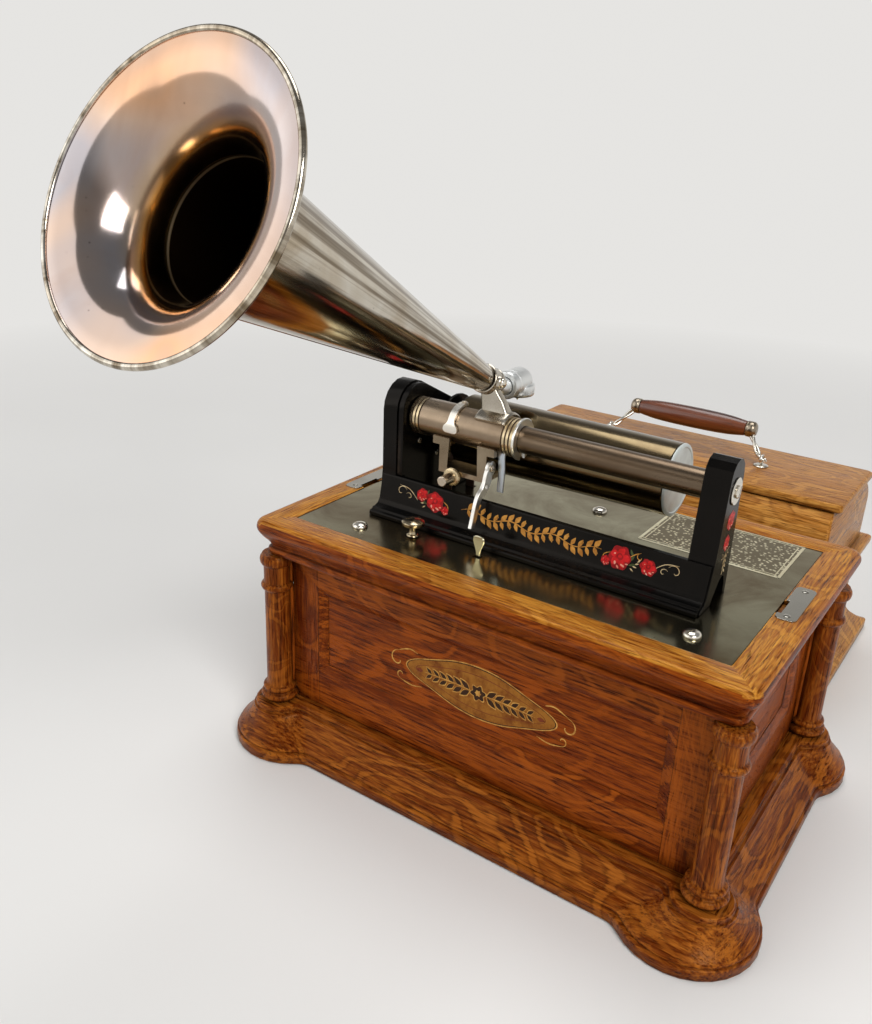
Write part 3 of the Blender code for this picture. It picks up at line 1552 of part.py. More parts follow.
def escutcheon():
    face = -wall_half_x + panel_lip
    hole = winder_radius + clearance
    low = face - escutcheon_thickness
    edge = escutcheon_radius - escutcheon_thickness / 2
    profile = ((low, hole), (low, edge), (face - escutcheon_thickness / 2, escutcheon_radius),
               (face, escutcheon_radius), (face, hole))
    return finish("escutcheon", revolve(profile, axis_frame((0, barrel_y, barrel_z), (1, 0, 0)),
                                        round_segments), nickel)


def arbor_solid(y, z, radius, x0, x1):
    """Arbor with thinner pivots that run in both motor plates."""
    left = plate_left_inner + clearance
    right = plate_right_inner - clearance
    profile = ((x0, 0), (x0, arbor_end), (left, arbor_end), (left, radius), (right, radius),
               (right, arbor_end), (x1, arbor_end), (x1, 0))
    return revolve(profile, axis_frame((0, y, z), (1, 0, 0)), small_segments)


def second_arbor():
    bm = arbor_solid(second_y, second_z, arbor_radius, motor_left, motor_right)
    arbor = finish("second_arbor", bm, steel, (motor_left, second_y, second_z))
    pinion = motor_gear(barrel_pinion_teeth, second_turn, second_y, second_z,
                        barrel_wheel_left - clearance, barrel_wheel_right + clearance)
    return join(arbor, helper("second_pinion", pinion))


def motor_wheel(name, teeth, y, z, x0, x1):
    bm = motor_gear(teeth, 0.0, y, z, x0, x1)
    wheel = finish(name, bm, brass, (x0, y, z))
    return cut(wheel, hole_x(name + "_bore", y, z, x0 - overrun, x1 + overrun,
                             arbor_radius + clearance))


def drive_arbor():
    right = motor_right
    left = pulley_left
    middle = plate_right_inner - clearance
    profile = ((left, 0), (left, arbor_radius), (middle, arbor_radius), (middle, arbor_end),
               (right, arbor_end), (right, 0))
    bm = revolve(profile, axis_frame((0, drive_y, drive_z), (1, 0, 0)), small_segments)
    arbor = finish("drive_arbor", bm, steel, (left, drive_y, drive_z))
    pinion = motor_gear(second_pinion_teeth, drive_turn, drive_y, drive_z,
                        second_wheel_left - clearance, second_wheel_right + clearance)
    return join(arbor, helper("drive_pinion", pinion))


def governor():
    """Pinion arbor with two collars, three bowed springs and their weights."""
    bm = arbor_solid(governor_y, governor_z, arbor_end + clearance, motor_left, motor_right)
    piece = finish("governor", bm, brass, (motor_left, governor_y, governor_z))
    pinion = motor_gear(governor_pinion_teeth, governor_turn, governor_y, governor_z,
                        drive_wheel_left - clearance, drive_wheel_left + wheel_thickness)
    join(piece, helper("governor_pinion", pinion))
    middle = (plate_left_inner + plate_right_inner) / 2
    half = governor_length / 2
    for sign in (-1, 1):
        collar = rod((middle + sign * half - governor_arm, governor_y, governor_z),
                     (middle + sign * half + governor_arm, governor_y, governor_z),
                     governor_collar, small_segments)
        join(piece, helper("governor_collar", collar))
    for k in range(3):
        turn = 2 * math.pi * k / 3
        cos, sin = math.cos(turn), math.sin(turn)
        low = governor_collar - governor_arm
        path = []
        for x, reach in ((-half, low), (-half / 2, (low + governor_swing) / 2), (0, governor_swing),
                         (half / 2, (low + governor_swing) / 2), (half, low)):
            path.append((middle + x, governor_y + reach * cos, governor_z + reach * sin))
        join(piece, helper("governor_spring", sweep(path, [governor_arm] * len(path), 6)))
        out = (middle, governor_y + governor_swing * cos, governor_z + governor_swing * sin)
        ball = bmesh.new()
        bmesh.ops.create_icosphere(ball, subdivisions=1, radius=governor_ball,
                                   matrix=Matrix.Translation(out))
        join(piece, helper("governor_ball", ball))
    return piece


# Lid and handle

def lid_ring(half_x, half_y, z):
    ring = rounded_rectangle(half_x, half_y, min(lid_corner, half_y / 4), 2)
    return [(lid_x + x, lid_y + y, z) for x, y in ring]


def lid():
    crown_low = lid_height - lid_board_thickness - lid_crown_rise
    crown_high = lid_height - lid_board_thickness - clearance
    levels = []
    for up, out in lid_base_shares:
        levels.append((lid_wall_half_x + out * (lid_base_half_x - lid_wall_half_x),
                       lid_wall_half_y + out * (lid_base_half_y - lid_wall_half_y),
                       up * lid_base_rise))
    for up, out in lid_band_shares:
        levels.append((lid_wall_half_x + out * lid_band_reach,
                       lid_wall_half_y + out * lid_band_reach,
                       lid_band_low + up * (lid_band_high - lid_band_low)))
    for up, inset in lid_crown_shares:
        levels.append((lid_wall_half_x - inset * lid_crown_end_inset,
                       lid_wall_half_y - inset * lid_crown_inset,
                       crown_low + up * (crown_high - crown_low)))
    rings = [lid_ring(*level) for level in levels]
    shell = finish("lid", loft(bmesh.new(), rings), oak)
    wall = lid_wall_thickness
    hollow = [
        lid_ring(lid_wall_half_x - wall, lid_wall_half_y - wall, -overrun),
        lid_ring(lid_wall_half_x - wall, lid_wall_half_y - wall, crown_low),
        lid_ring(lid_wall_half_x - wall - lid_crown_end_inset,
                 lid_wall_half_y - wall - lid_crown_inset, crown_high - wall),
    ]
    return cut(shell, helper("lid_hollow", loft(bmesh.new(), hollow)))


def lid_board():
    low = lid_height - lid_board_thickness
    nose = lid_board_nose
    levels = ((nose, 0), (0, nose), (0, lid_board_thickness - nose), (nose, lid_board_thickness))
    rings = [lid_ring(lid_board_half_x - inset, lid_board_half_y - inset, low + up)
             for inset, up in levels]
    return finish("lid_board", loft(bmesh.new(), rings), oak)


def handle_pivot_z():
    return lid_height + clearance + eye_height


def handle_eye(name, sign):
    """Ring eye standing on a round plate."""
    x = lid_x + sign * eye_reach
    low = lid_height + clearance
    plate = finish(name, rod((x, lid_y, low), (x, lid_y, low + eye_plate_thickness),
                             eye_plate_radius, small_segments), steel)
    centre = Vector((x, lid_y, handle_pivot_z()))
    bm = bmesh.new()
    rings = []
    for i in range(small_segments):
        turn = 2 * math.pi * i / small_segments
        out = Vector((0, math.cos(turn), math.sin(turn)))
        ring = []
        for k in range(8):
            angle = 2 * math.pi * k / 8
            ring.append(centre + out * (eye_ring + eye_wire * math.cos(angle))
                        + Vector((1, 0, 0)) * eye_wire * math.sin(angle))
        rings.append(ring)
    loft(bm, rings, closed=True)
    return join(plate, helper(name + "_ring", bm))


def handle_place():
    """Frame on the handle's axis, leaned back, its Z along the bails."""
    frame = Matrix.Rotation(math.radians(-handle_lean_deg), 4, "X")
    frame.translation = Vector((lid_x, lid_y, handle_pivot_z()))
    return frame


def handle_bails():
    """One bent wire: a bail at each end and the rod through the grip, with two ferrules."""
    place = handle_place()
    inner = grip_half + clearance
    outer = eye_reach + bail_overhang
    path = []
    for out, up in bail_path_shares:
        path.append((inner + out * (outer - inner), 0, up * bail_length))
    whole = [(-x, y, z) for x, y, z in path] + path[::-1]
    points = [place @ Vector(point) for point in whole]
    wire = sweep(points, [bail_wire] * len(points), small_segments // 2)
    pivot = (lid_x, lid_y, handle_pivot_z())
    bails = finish("handle_bails", wire, nickel, pivot)
    for sign in (-1, 1):
        ferrule = rod(place @ Vector((sign * inner, 0, bail_length)),
                      place @ Vector((sign * (inner + ferrule_length), 0, bail_length)),
                      ferrule_radius, small_segments)
        join(bails, helper("ferrule", ferrule))
    return bails


def handle_grip():
    place = handle_place() @ Matrix.Translation((0, 0, bail_length))
    profile = [(-grip_half, bail_wire + clearance)]
    for along, swell in grip_shares:
        profile.append((along * grip_half,
                        grip_radius_end + swell * (grip_radius_mid - grip_radius_end)))
    profile.append((grip_half, bail_wire + clearance))
    bm = revolve(profile, place, small_segments)
    return finish("handle_grip", bm, walnut, (lid_x, lid_y, handle_pivot_z()))


# Building the machine

base_moulding()
bottom_board()
case_frame()
for panel_name, panel_side in sides.items():
    panel(panel_name, panel_side)
for column_name, (column_sx, column_sy) in corners.items():
    column(column_name, column_sx, column_sy)
top_rim()
bedplate()
clip("clip_left", -1)
clip("clip_right", 1)
escutcheon()
iron_frame()
gear_cover()
feed_tube()
tube_plug()
drive_belt()

axis_empty("mandrel_axis", (mandrel_left, mandrel_y, mandrel_z),
           mandrel_shell(), mandrel_cap(), mandrel_shaft(),
           pulley("mandrel_pulley", mandrel_z, shaft_radius + clearance),
           train_gear("mandrel_gear", feed_teeth, mandrel_turn, mandrel_y, mandrel_z,
                      shaft_radius))
train_gear("idler_gear", idler_teeth, idler_turn, idler_y, idler_z, idler_pin)
axis_empty("feed_axis", (nut_x, tube_y, tube_z), feed_screw(),
           train_gear("feed_gear", feed_teeth, feed_turn, tube_y, tube_z, screw_journal))

half_nut()
axis_empty("carriage_axis", (nut_x, tube_y, tube_z), sleeve(), yoke(), yoke_pin(), guide_arm(),
           horn_clamp(), horn(), reproducer_arm(), reproducer())
paddle_lever()
lift_lever()
thumb_knob()
start_lever()

motor_plate_piece("motor_plate_left", motor_left, 1)
motor_plate_piece("motor_plate_right", plate_right_inner, -1)
for pillar_name, (pillar_y, pillar_z) in zip(("motor_pillar_front", "motor_pillar_rear"),
                                             pillar_places()):
    motor_pillar(pillar_name, pillar_y, pillar_z)
barrel()
winding_arbor()
axis_empty("second_axis", (motor_left, second_y, second_z), second_arbor(),
           motor_wheel("second_wheel", second_teeth, second_y, second_z, second_wheel_left,
                       second_wheel_right))
axis_empty("drive_axis", (motor_left, drive_y, drive_z), drive_arbor(),
           motor_wheel("drive_wheel", governor_teeth, drive_y, drive_z, drive_wheel_left,
                       drive_wheel_left + wheel_thickness),
           pulley("drive_pulley", drive_z, arbor_radius + clearance))
governor()

lid()
lid_board()
handle_eye("handle_eye_left", -1)
handle_eye("handle_eye_right", 1)
axis_empty("handle_axis", (lid_x, lid_y, handle_pivot_z()), handle_bails(), handle_grip())
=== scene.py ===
import math
import bmesh
import bpy
from mathutils import Matrix, Vector


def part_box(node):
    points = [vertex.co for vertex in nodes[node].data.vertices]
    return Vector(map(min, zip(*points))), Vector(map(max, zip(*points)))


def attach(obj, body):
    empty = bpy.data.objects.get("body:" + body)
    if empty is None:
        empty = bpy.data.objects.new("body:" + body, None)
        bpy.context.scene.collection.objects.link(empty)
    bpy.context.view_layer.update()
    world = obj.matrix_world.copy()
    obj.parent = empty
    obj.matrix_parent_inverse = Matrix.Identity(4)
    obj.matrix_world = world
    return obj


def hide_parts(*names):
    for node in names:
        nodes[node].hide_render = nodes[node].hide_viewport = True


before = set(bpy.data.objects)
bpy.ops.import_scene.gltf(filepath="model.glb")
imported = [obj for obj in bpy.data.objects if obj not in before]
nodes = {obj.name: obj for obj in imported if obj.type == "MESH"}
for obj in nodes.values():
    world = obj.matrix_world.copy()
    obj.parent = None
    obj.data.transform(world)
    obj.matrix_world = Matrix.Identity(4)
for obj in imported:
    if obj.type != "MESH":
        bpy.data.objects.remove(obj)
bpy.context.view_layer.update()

# driving places of the machine, in metres
BED_TOP = 0.1576
WALL_X, WALL_Y = 0.1425, 0.0848
COLUMN_X, COLUMN_Y = 0.1496, 0.0919
BASE_HIGH = 0.0274
RIM_X, RIM_Y, RIM_TOP = 0.14, 0.0823, 0.1582
TUBE_Y, TUBE_Z = -0.0168, 0.22
MANDREL_Y, MANDREL_Z = 0.0224, 0.2035
LID_X, LID_Y = -0.0084, 0.231
HINGE_Z = 0.1573


# materials

class Shader:
    """A material's node tree with short calls for the nodes used here."""

    def __init__(self, name):
        self.mat = bpy.data.materials.new(name)
        self.mat.use_nodes = True
        self.tree = self.mat.node_tree
        self.bsdf = self.tree.nodes["Principled BSDF"]
        self.coord = self.tree.nodes.new("ShaderNodeTexCoord").outputs["Object"]

    def put(self, socket, value):
        if hasattr(value, "links"):
            self.tree.links.new(value, socket)
        elif isinstance(value, tuple) and len(value) == 3 and socket.type == "RGBA":
            socket.default_value = (*value, 1.0)
        else:
            socket.default_value = value

    def node(self, kind, *sockets, **values):
        """A node with its first sockets filled in order and others, or settings, by name."""
        n = self.tree.nodes.new("ShaderNode" + kind)
        for key, value in values.items():
            if key in n.inputs:
                self.put(n.inputs[key], value)
            else:
                setattr(n, key, value)
        for socket, value in zip(n.inputs, sockets):
            self.put(socket, value)
        return n

    def mapping(self, scale, turn=(0, 0, 0), shift=(0, 0, 0), vector=None):
        scale = scale if isinstance(scale, tuple) else (scale,) * 3
        n = self.node("Mapping", Vector=vector or self.coord, Scale=scale, Rotation=turn, Location=shift)
        return n.outputs["Vector"]

    def noise(self, vector, scale=1.0, detail=3.0, rough=0.55, distortion=0.0):
        """Noise over a vector, or over the object at the given mapping scale."""
        vector = vector if hasattr(vector, "links") else self.mapping(vector)
        return self.node("TexNoise", Vector=vector, Scale=scale, Detail=detail, Roughness=rough,
                         Distortion=distortion).outputs["Fac"]

    def cells(self, vector, scale=1.0):
        return self.node("TexVoronoi", Vector=self.mapping(vector), Scale=scale).outputs["Distance"]

    def ramp(self, fac, stops):
        n = self.node("ValToRGB", fac)
        marks = n.color_ramp.elements
        while len(marks) < len(stops):
            marks.new(0.5)
        for mark, (pos, colour) in zip(marks, stops):
            mark.position = pos
            mark.color = (*colour, 1)
        return n.outputs["Color"]

    def mix(self, fac, a, b):
        n = self.node("Mix", data_type="RGBA")
        for index, value in ((0, fac), (6, a), (7, b)):
            self.put(n.inputs[index], value)
        return n.outputs[2]

    def math(self, op, a, b=0.0):
        return self.node("Math", a, b, 0.0, operation=op).outputs[0]

    def times(self, a, b):
        return self.math("MULTIPLY", a, b)

    def plus(self, a, b):
        return self.math("ADD", a, b)

    def minus(self, a, b):
        return self.math("SUBTRACT", a, b)

    def most(self, a, b):
        return self.math("MAXIMUM", a, b)

    def span(self, value, a, b, c=0.0, d=1.0):
        """The value's way from a to b, laid between c and d and held there."""
        return self.node("MapRange", value, a, b, c, d, clamp=True).outputs[0]

    def axes(self, vector):
        return self.node("SeparateXYZ", vector).outputs

    def along(self, axis, start):
        """How far a point of the object lies from the start along an axis."""
        offset = self.node("VectorMath", self.coord, tuple(start), operation="SUBTRACT").outputs[0]
        return self.node("VectorMath", offset, tuple(axis), operation="DOT_PRODUCT").outputs["Value"]

    def bump(self, height, distance, strength=0.6):
        return self.node("Bump", Strength=strength, Distance=distance, Height=height).outputs["Normal"]

    def specks(self, scale, rim, core, patch, low, high):
        """Small round spots that come in scattered patches."""
        return self.times(self.span(self.cells(1, scale), rim, core),
                          self.span(self.noise(patch, detail=1.0), low, high))

    def corners(self, reach, low, high, most):
        """How closed in a place is, for painted shade in corners, joints and hollows."""
        ao = self.node("AmbientOcclusion", Distance=reach, samples=6)
        return self.span(ao.outputs["AO"], low, high, most, 0.0)

    def edges(self, low, high):
        return self.span(self.node("NewGeometry").outputs["Pointiness"], low, high)

    def seen(self):
        """One for the rays that show the backdrop: camera, glossy and transmission."""
        path = self.node("LightPath").outputs
        return self.most(path["Is Camera Ray"],
                         self.most(path["Is Glossy Ray"], path["Is Transmission Ray"]))

    def set(self, **values):
        for key, value in values.items():
            self.put(self.bsdf.inputs[key.replace("_", " ")], value)
        return self.mat


TURN = {"x": (0, 0, 0), "y": (0, 0, -math.pi / 2), "z": (0, math.pi / 2, 0)}


def grain(s, axis, tones, seed, fleck, size=1.0):
    """Quarter-sawn oak along one axis: returns the colour, a height and the streaks."""
    dark, mid, light = tones
    base = s.mapping(1, TURN[axis], (seed, seed * 1.7, seed * 0.6))

    def layer(along, across, turn=(0, 0, 0), **values):
        return s.noise(s.mapping((along, across, across), turn, vector=base), **values)

    streak = layer(42, 640, rough=0.66, distortion=0.2)
    band = layer(4, 46, distortion=0.6)
    pore = layer(75, 1500, detail=2.0, rough=0.7)
    field = layer(13 / size, 21 / size, (0.25, 0.35, 0.62), detail=1.4, rough=0.42, distortion=0.55)
    wave = s.math("PINGPONG", s.times(field, 9.0), 0.5)
    torn = s.plus(wave, s.times(s.minus(streak, 0.5), 0.42))
    flake = s.span(torn, 0.31, 0.41)
    rim = s.times(s.span(torn, 0.22, 0.32), s.span(flake, 0.8, 0.1))
    where = s.span(layer(9, 15, detail=1.0), 0.34, 0.46)
    tone = s.plus(s.times(streak, 0.7), s.times(band, 0.3))
    colour = s.ramp(tone, [(0.34, dark), (0.47, mid), (0.66, light)])
    colour = s.mix(s.times(s.times(rim, where), fleck * 0.75), colour, dark)
    colour = s.mix(s.times(s.times(flake, where), fleck), colour,
                   s.mix(s.span(streak, 0.24, 0.5), mid, light))
    lines = s.times(s.span(pore, 0.57, 0.69), s.span(band, 0.3, 0.55, 0.35, 1.0))
    colour = s.mix(s.times(lines, 0.85), colour, tuple(c * 0.3 for c in dark))
    return colour, s.plus(s.times(lines, -0.9), s.times(streak, 0.4)), streak


def varnish(s, colour, height, streak, tones, rough, reach=0.008):
    """Varnish over a grain, with painted shade in the joints and corners and lighter edges that are partly
    wear and partly painted highlight.
    """
    dark, light = tones[0], tones[2]
    # painted shade: joints, corners and hollows found by ambient occlusion darken toward the dark tone
    colour = s.mix(s.corners(reach, 0.3, 0.92, 0.85), colour, tuple(c * 0.22 for c in dark))
    # lighter edges: partly worn varnish, partly painted highlight along the edges
    lighter_edges = s.times(s.edges(0.53, 0.6), s.span(streak, 0.38, 0.58))
    colour = s.mix(s.times(lighter_edges, 0.7), colour, light)
    return s.set(Base_Color=colour, Roughness=s.span(streak, 0.3, 0.7, rough - 0.06, rough + 0.12),
                 Normal=s.bump(height, 0.00026), Coat_Weight=0.0, Specular_IOR_Level=0.26,
                 Specular_Tint=(1.0, 0.52, 0.2, 1.0))


# each wood's dark, middle and light tone
FRONT = ((0.055, 0.0058, 0.0005), (0.112, 0.0125, 0.0009), (0.3, 0.058, 0.0034))
RAIL = ((0.046, 0.0052, 0.0005), (0.12, 0.015, 0.001), (0.34, 0.074, 0.006))
BASE = ((0.032, 0.0042, 0.0005), (0.14, 0.024, 0.0017), (0.4, 0.12, 0.013))
# TOP goes on the rim's upward faces only: lighter golden tones that paint the light falling on them from
# above
TOP = ((0.075, 0.016, 0.0012), (0.32, 0.095, 0.0075), (0.66, 0.3, 0.042))
LID = ((0.11, 0.033, 0.005), (0.34, 0.125, 0.019), (0.6, 0.285, 0.062))
INSIDE = ((0.2, 0.1, 0.04), (0.36, 0.22, 0.1), (0.52, 0.36, 0.18))


def oak(name, axis="x", tones=BASE, seed=0.0, fleck=0.5, rough=0.3, size=1.0):
    """Varnished quarter-sawn oak with its grain along one axis."""
    s = Shader(name)
    colour, height, streak = grain(s, axis, tones, seed, fleck, size)
    return varnish(s, colour, height, streak, tones, rough)


def metal(name, colour, rough=0.2, tint=(0.46, 0.36, 0.24), blotch=0.3, brushed=None, spots=0.25,
          fine=900):
    """Plated or bare metal with uneven tarnish, fine scratches and small spots."""
    s = Shader(name)
    cloud = s.noise(26, detail=4.0, rough=0.6, distortion=0.5)
    col = s.mix(s.span(cloud, 0.42, 0.68, 0.0, blotch), colour, tint)
    dots = s.specks(330.0, 0.16, 0.08, 90, 0.55, 0.66)
    col = s.mix(s.times(dots, spots), col, tuple(c * 0.25 for c in tint))
    scratch = s.noise(tuple(8 if axis == brushed else fine for axis in "xyz"), detail=2.0, rough=0.6)
    r = s.plus(s.span(cloud, 0.3, 0.7, rough - 0.04, rough + 0.08), s.span(scratch, 0.3, 0.7, -0.02, 0.04))
    height = s.plus(s.times(scratch, 0.6 if brushed else 0.25), s.times(dots, -1.0))
    return s.set(Base_Color=col, Metallic=1.0, Roughness=r, Normal=s.bump(height, 0.00004, 0.35))


def paint(name, colour, second, rough=0.35, scale=260.0, metallic=0.0):
    """Hand-laid paint or gilding, uneven in tone and slightly raised."""
    s = Shader(name)
    n = s.noise(scale, detail=4.0, rough=0.65)
    return s.set(Base_Color=s.ramp(n, [(0.34, second), (0.62, colour)]), Metallic=metallic,
                 Roughness=s.span(n, 0.3, 0.7, rough - 0.08, rough + 0.12), Normal=s.bump(n, 0.00005, 0.5),
                 Coat_Weight=0.03, Coat_Roughness=0.12, Specular_IOR_Level=0.25,
                 Specular_Tint=(1.0, 0.62, 0.3, 1.0))


def enamel(name):
    """Black enamel on a casting: faint orange peel and brown wear on the edges."""
    s = Shader(name)
    cloud = s.noise(40, detail=4.0)
    col = s.mix(s.span(cloud, 0.4, 0.8, 0.0, 0.5), (0.002, 0.002, 0.002), (0.008, 0.006, 0.005))
    lighter_edges = s.times(s.edges(0.56, 0.64), s.span(cloud, 0.5, 0.62))
    col = s.mix(s.times(lighter_edges, 0.5), col, (0.12, 0.085, 0.06))
    return s.set(Base_Color=col, Roughness=s.span(cloud, 0.3, 0.7, 0.16, 0.3),
                 Normal=s.bump(s.noise(330, detail=2.0), 0.00006, 0.35), Coat_Weight=0.02,
                 Coat_Roughness=0.1, Specular_IOR_Level=0.12, Specular_Tint=(1.0, 0.88, 0.76, 1.0))


def leather(name):
    s = Shader(name)
    n = s.noise(70, detail=4.0)
    return s.set(Base_Color=s.ramp(n, [(0.3, (0.035, 0.018, 0.01)), (0.7, (0.13, 0.07, 0.038))]),
                 Roughness=s.span(n, 0.3, 0.7, 0.55, 0.8), Normal=s.bump(s.cells(900), 0.0001, 0.5))


def plated_bed(name):
    """Nickel of the bedplate: broad yellowed stains, spots and painted shade where it is closed in at its
    edges.
    """
    s = Shader(name)
    cloud = s.noise(17, detail=5.0, rough=0.62, distortion=0.8)
    dots = s.specks(260.0, 0.12, 0.06, 70, 0.56, 0.66)
    col = s.mix(s.span(cloud, 0.38, 0.66), (0.37, 0.34, 0.225), (0.17, 0.125, 0.06))
    col = s.mix(s.times(dots, 0.7), col, (0.05, 0.04, 0.03))
    # painted shade where the plate is closed in by the parts on and around it
    col = s.mix(s.corners(0.006, 0.4, 0.9, 0.75), col, (0.035, 0.028, 0.02))
    rough = s.plus(s.span(cloud, 0.3, 0.7, 0.1, 0.24), s.span(s.noise(60), 0.3, 0.7, 0.0, 0.05))
    return s.set(Base_Color=col, Metallic=1.0, Roughness=rough,
                 Normal=s.bump(s.plus(s.noise(14, detail=1.0), s.times(dots, -0.02)), 0.0016, 0.25))


def cast_cap(name):
    """Grey cast metal of the mandrel's end cap."""
    s = Shader(name)
    n = s.noise(90, detail=4.0)
    return s.set(Base_Color=s.ramp(n, [(0.3, (0.5, 0.53, 0.51)), (0.65, (0.66, 0.7, 0.67))]),
                 Roughness=s.span(n, 0.3, 0.7, 0.3, 0.46), Metallic=0.35,
                 Normal=s.bump(s.noise(700, detail=2.0), 0.00008, 0.4))


def walnut(name):
    """Turned dark wood of the handle's grip, with a worn polish."""
    s = Shader(name)
    base = s.mapping(1, shift=(0.3, 0.7, 0.2))
    streak = s.noise(s.mapping((7, 120, 120), vector=base), detail=4.0, distortion=0.3)
    pore = s.span(s.noise(s.mapping((50, 1300, 1300), vector=base), detail=2.0), 0.58, 0.7)
    col = s.ramp(streak, [(0.32, (0.045, 0.01, 0.004)), (0.55, (0.15, 0.036, 0.01)),
                          (0.75, (0.24, 0.07, 0.02))])
    return s.set(Base_Color=s.mix(s.times(pore, 0.5), col, (0.02, 0.006, 0.003)),
                 Roughness=s.span(streak, 0.3, 0.7, 0.22, 0.36), Coat_Weight=0.4, Coat_Roughness=0.12,
                 Normal=s.bump(s.times(pore, -1.0), 0.00012, 0.5))


def stippled(name):
    """Raised bright stipple on a dark ground, for the bedplate's plate area."""
    s = Shader(name)
    cells = s.cells((430, 430, 1))
    n = s.noise(45)
    col = s.mix(s.span(cells, 0.42, 0.22), (0.2, 0.16, 0.09), (0.92, 0.84, 0.58))
    col = s.mix(s.span(n, 0.45, 0.75, 0.0, 0.5), col, (0.12, 0.095, 0.055))
    return s.set(Base_Color=col, Metallic=1.0, Roughness=s.span(n, 0.3, 0.7, 0.25, 0.42),
                 Normal=s.bump(cells, 0.0004, -0.8))


# the rim's upward faces, in the lighter TOP tones of painted light from above
oak_top = oak("oak_top", "x", TOP, 3.7, 0.35)
oak_top_y = oak("oak_top_y", "y", TOP, 4.9, 0.35)
oak_lid = oak("oak_lid", "x", LID, 5.5, 0.55)
oak_lid_y = oak("oak_lid_end", "y", LID, 8.1, 0.55)
oak_board = oak("oak_board", "x", LID, 9.4, 0.45)
oak_inside = oak("oak_inside", "x", INSIDE, 6.5, 0.1, 0.6)
oak_base = oak("oak_base", "x", BASE, 12.0, 0.55, size=1.1)
oak_base_y = oak("oak_base_y", "y", BASE, 13.0, 0.55, size=1.1)
oak_fillet = oak("oak_fillet", "z", RAIL, 27.0, 0.2)
oak_rim_face = oak("oak_rim_face", "x", RAIL, 30, 0.5)
oak_rim_face_y = oak("oak_rim_face_y", "y", RAIL, 31, 0.5)
nickel = metal("nickel", (0.52, 0.45, 0.36), 0.2, blotch=0.35)
nickel_tube = metal("nickel_tube", (0.145, 0.105, 0.07), 0.27, (0.1, 0.062, 0.036), 0.45, "x")
nickel_sleeve = metal("nickel_sleeve", (0.31, 0.235, 0.165), 0.25, (0.17, 0.12, 0.072), 0.45, "x")
nickel_bright = metal("nickel_bright", (0.78, 0.74, 0.66), 0.17, blotch=0.2)
nickel_mandrel = metal("nickel_mandrel", (0.15, 0.112, 0.06), 0.15, (0.085, 0.052, 0.027), 0.4, "x")
nickel_cast = metal("nickel_cast", (0.5, 0.46, 0.39), 0.2, (0.28, 0.23, 0.17), 0.55)
clip_nickel = metal("clip_nickel", (0.44, 0.42, 0.37), 0.16, (0.3, 0.27, 0.22), 0.45, spots=0.5)
steel = metal("steel", (0.5, 0.48, 0.45), 0.34, blotch=0.4, brushed="x")
steel_blue = metal("steel_blue", (0.52, 0.57, 0.62), 0.3, (0.36, 0.38, 0.42), brushed="z")
alu = metal("aluminium_cast", (0.78, 0.79, 0.78), 0.36, (0.55, 0.56, 0.56), fine=420)
brass = metal("brass", (0.7, 0.5, 0.2), 0.28, (0.42, 0.27, 0.1), brushed="x")
brass_ring = metal("brass_ring", (0.66, 0.53, 0.33), 0.24, (0.36, 0.27, 0.16))
groove = metal("groove_dark", (0.16, 0.12, 0.09), 0.4, blotch=0.2)
flange_bright = metal("flange_bright", (0.88, 0.87, 0.83), 0.28, (0.6, 0.58, 0.52), 0.25)
yoke_metal = metal("yoke_metal", (0.3, 0.24, 0.165), 0.19, (0.12, 0.08, 0.045), 0.5)
paddle_metal = metal("paddle_metal", (0.86, 0.82, 0.74), 0.24, (0.55, 0.48, 0.38))
lever_bright = metal("lever_bright", (0.84, 0.82, 0.77), 0.33, (0.5, 0.46, 0.4))
lever_worn = metal("lever_worn", (0.56, 0.52, 0.38), 0.2, (0.34, 0.29, 0.15), 0.45)
knob_worn = metal("knob_worn", (0.44, 0.36, 0.24), 0.19, (0.25, 0.18, 0.09), 0.5)
bail_nickel = metal("bail_nickel", (0.72, 0.69, 0.62), 0.22, (0.42, 0.36, 0.28), 0.4)
cup_nickel = metal("cup_nickel", (0.4, 0.34, 0.26), 0.24, (0.16, 0.12, 0.08), 0.6)
plate_metal = metal("plate_patch", (0.88, 0.82, 0.6), 0.42, (0.4, 0.33, 0.19), 0.5, spots=0.8)
black = enamel("black_enamel")
belt_leather = leather("belt_leather")
bed_nickel = plated_bed("bedplate_nickel")
cap_grey = cast_cap("end_cap_grey")
grip_wood = walnut("walnut_grip")
stipple = stippled("plate_stipple")


# shapes

def mm(*points):
    """Points written in millimetres, as metres."""
    return [tuple(v / 1000 for v in point) for point in points]


def show(name, data):
    """A new object in the scene."""
    thing = bpy.data.objects.new(name, data)
    bpy.context.scene.collection.objects.link(thing)
    return thing


def finish_mesh(name, bm, mats, body, node=None, smooth=35.0):
    """A piece of the scene that rides on a body and may stand for a node."""
    bmesh.ops.recalc_face_normals(bm, faces=bm.faces)
    mesh = bpy.data.meshes.new(name)
    bm.to_mesh(mesh)
    bm.free()
    for m in mats if isinstance(mats, list) else [mats]:
        mesh.materials.append(m)
    mesh.shade_smooth()
    mesh.set_sharp_from_angle(angle=math.radians(smooth))
    thing = show(name, mesh)
    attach(thing, body)
    if node:
        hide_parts(node)
    return thing


def bridge(bm, a, b, mat=0):
    n = len(a)
    for i in range(n):
        j = (i + 1) % n
        bm.faces.new((a[i], a[j], b[j], b[i])).material_index = mat


def loft(rings, closed=False, bm=None):
    """A skin over rings of points, capped at both ends or joined from last to first."""
    bm = bm or bmesh.new()
    loops = [[bm.verts.new(p) for p in ring] for ring in rings]
    for a, b in zip(loops, loops[1:]):
        bridge(bm, a, b)
    if closed:
        bridge(bm, loops[-1], loops[0])
    else:
        bm.faces.new(loops[0])
        bm.faces.new(loops[-1])
    return bm


